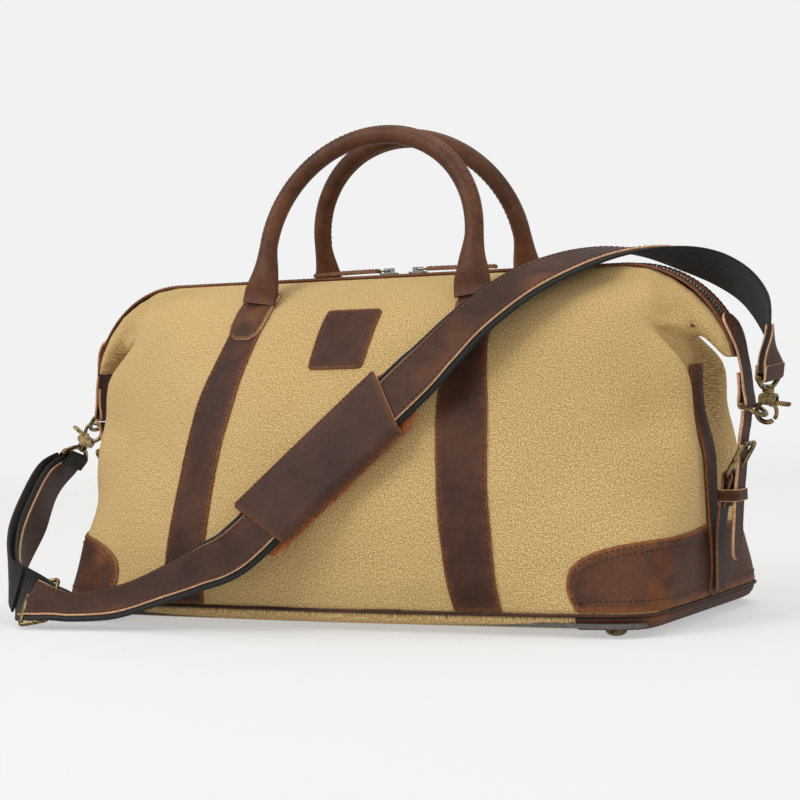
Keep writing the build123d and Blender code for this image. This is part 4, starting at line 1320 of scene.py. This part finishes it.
over = stretch(whole, (207, 18, 253.5), (-238, -144.5, 20))
up_run = stretch(whole, (-246, -141, 22), hook_end("left", 4.2))
lap = stretch(whole, hook_end("right", 4.2), (286, 2, 194))
for shift, name in ((FACING_SHIFT, "outer"), (-FACING_SHIFT, "inner")):
    strap(f"strap_lap_{name}", lap, FACING_WIDTH + 3, FACING, shift, [strap_leather, tan_edge], "bag")
strap("strap_webbing_whole", whole, WEBBING_WIDTH, WEBBING, 0, [webbing, webbing], "bag",
      ["shoulder_webbing"])
strap("strap_facing_over", over, FACING_WIDTH, FACING, FACING_SHIFT, [strap_leather, tan_edge], "bag",
      ["shoulder_facing"])
strap("strap_facing_up", up_run, FACING_WIDTH, FACING, -FACING_SHIFT, [strap_leather, tan_edge], "bag")
for offset, name in ((-FACING_STITCH, "a"), (FACING_STITCH, "b")):
    ribbon_stitches(f"strap_over_stitch_{name}", over, offset, FACING_SHIFT + 0.9, 4.2, stitch_dark, "bag")
    ribbon_stitches(f"strap_up_stitch_{name}", up_run, offset, -FACING_SHIFT - 0.9, 4.2, stitch_dark, "bag")
outer_run = []
for i, (point, face) in enumerate(strap_up):
    share = sin(pi * i / (len(strap_up) - 1))
    outer_run.append((np.array(point, float) + unit(np.array(face, float)) * (3.0 + 5.0 * share), face))
strap("strap_webbing_outer", ribbon(outer_run, 3.0), WEBBING_WIDTH, WEBBING, 0, [webbing, webbing], "bag")

# folds of the strap round the hooks' loops
for end in ("left", "right"):
    middle, to_strap, across = HOOKS[end]
    face = hook_face(end) * (-1 if end == "right" else 1)
    across = unit(across - to_strap * (across @ to_strap))
    bar = middle + to_strap * HOOK_LOOP
    radius = 3.3
    turn = np.linspace(-0.2, pi + 0.2, 14)
    path = [bar + to_strap * 8 + face * 3.4]
    path += [bar + face * radius * cos(a) - to_strap * radius * sin(a) for a in turn]
    path += [bar + to_strap * 8 - face * 3.4]
    line = resample(spline(path, 4), 1.5)
    along = unit(np.gradient(line, axis=0))
    side = np.tile(across, (len(line), 1))
    out = np.cross(side, along)
    if out[len(out) // 2] @ (-to_strap) < 0:
        out = -out
    fold = [strap_leather, tan_edge] if end == "right" else [webbing, webbing]
    strap(f"{end}_strap_fold", (line, side, out), WEBBING_WIDTH - 3, 1.6, 0, fold, "bag")

# ---- shoulder pad ---------------------------------------------------------------------------------
PAD_SIDE = unit(np.cross(PAD_AXIS, PAD_FACE))
PAD_MIDDLE = (PAD_TOP + PAD_FOOT) / 2


def on_pad(height):
    def place(p):
        return PAD_MIDDLE + p[:, :1] * PAD_SIDE + p[:, 1:] * PAD_AXIS + PAD_FACE * height(p)[:, None]
    return place


def sleeve_height(p):
    return 3.7 - 3.6 * smooth_step(20.4, 26.5, np.abs(p[:, 0])) + 0.5 * np.cos(p[:, 1] / 70 * pi / 2)


outline = rounded([(-26, -69), (24, -56), (26, 56), (-25, 69)], 3)
cut_piece("pad_sleeve", outline, on_pad(sleeve_height), 2.0, [pad_leather, tan_edge], "shoulder_pad",
          cell=3.5, soften=0, sink=0.0, replaces=["shoulder_pad"], wear_reach=1.4)
for x, end_at, name in ((-23.4, 66, "a"), (22.6, 55, "b")):
    sewn(f"pad_stitch_{name}", [(x, -end_at), (x, end_at)], on_pad(sleeve_height), 2.0, 3.6, stitch_dark,
         "shoulder_pad")


def backing_pad():
    """Soft suede pad under the strap, swelled by a short cloth simulation."""
    outline = resample(rounded([(-25.5, -79), (25.5, -74), (25.5, 74), (-25.5, 79)], 18, 10), 4, closed=True)
    rings = []
    for back, height in ((1.6, -2.1), (0, -2.9), (0, -4.4), (1.6, -5.5)):
        ring = inset(outline, back)
        rings.append(PAD_MIDDLE + ring[:, :1] * PAD_SIDE + ring[:, 1:] * PAD_AXIS + PAD_FACE * height)
    points, faces = closed_mesh(rings)
    made = object_from("pad_backing", points, outward(points, faces), [suede], "shoulder_pad")
    remesh = made.modifiers.new("remesh", "REMESH")
    remesh.mode, remesh.voxel_size = "VOXEL", 0.0022
    applied(made)
    finish_mesh(made.data, sharp=0)
    before = coordinates(made.data)
    cloth = made.modifiers.new("cloth", "CLOTH")
    cloth.settings.use_pressure = True
    cloth.settings.uniform_pressure_force = 4
    cloth.settings.effector_weights.gravity = 0
    cloth.settings.quality = 5
    for frame_number in range(1, 13):
        bpy.context.scene.frame_set(frame_number)
    applied(made)
    bpy.context.scene.frame_set(1)
    after = coordinates(made.data)
    shift = after - before
    far = np.linalg.norm(shift, axis=1, keepdims=True)
    limit = 1.2 * MM
    shift *= np.minimum(1, limit / np.maximum(far, 1e-9))
    inward = np.sum(shift * PAD_FACE, axis=1, keepdims=True)
    shift -= np.maximum(inward, 0) * PAD_FACE
    made.data.vertices.foreach_set("co", (before + shift).ravel())
    finer = made.modifiers.new("finer", "SUBSURF")
    finer.levels = finer.render_levels = 1
    applied(made)
    finish_mesh(made.data, sharp=0)
    return made


backing = backing_pad()

# ---- CAD nodes that stay --------------------------------------------------------------------------
KEPT = [("strap_adjuster", brass), ("base_board", board_grey), ("inner_pocket", lining_cloth),
        ("front_handle_core", rope_cotton), ("back_handle_core", rope_cotton)]
for end in ("left", "right"):
    KEPT += [(f"{end}_{name}", brass) for name in
             ("d_ring", "buckle_frame", "prong", "hook_body", "hook_gate", "strap_loop")]
    KEPT += [(f"{end}_{name}", zip_metal) for name in ("zip_slider", "pull_ring")]
for name, kept in KEPT:
    nodes[name].data.materials.clear()
    nodes[name].data.materials.append(kept)


# ---- floor ----------------------------------------------------------------------------------------
def floor():
    mesh = bpy.data.meshes.new("floor")
    ring = [(3.2 * cos(a), 3.2 * sin(a), 0) for a in np.linspace(0, 2 * pi, 64, endpoint=False)]
    mesh.from_pydata(ring, [], [tuple(range(64))])
    made, tree, shader = material("floor", Roughness=0.9)
    shader.inputs["Base Color"].default_value = (0.83, 0.83, 0.828, 1)
    spot = node(tree, "TexCoord").outputs["Object"]
    far = node(tree, "VectorMath", {"operation": "LENGTH"}, i0=spot).outputs["Value"]
    clear = node(tree, "MapRange", {"interpolation_type": "SMOOTHSTEP"}, Value=far, From_Min=0.75,
                 From_Max=2.6, To_Min=0.5, To_Max=0.0)
    tree.links.new(clear.outputs[0], shader.inputs["Alpha"])
    mesh.materials.append(made)
    linked("floor", mesh)


floor()
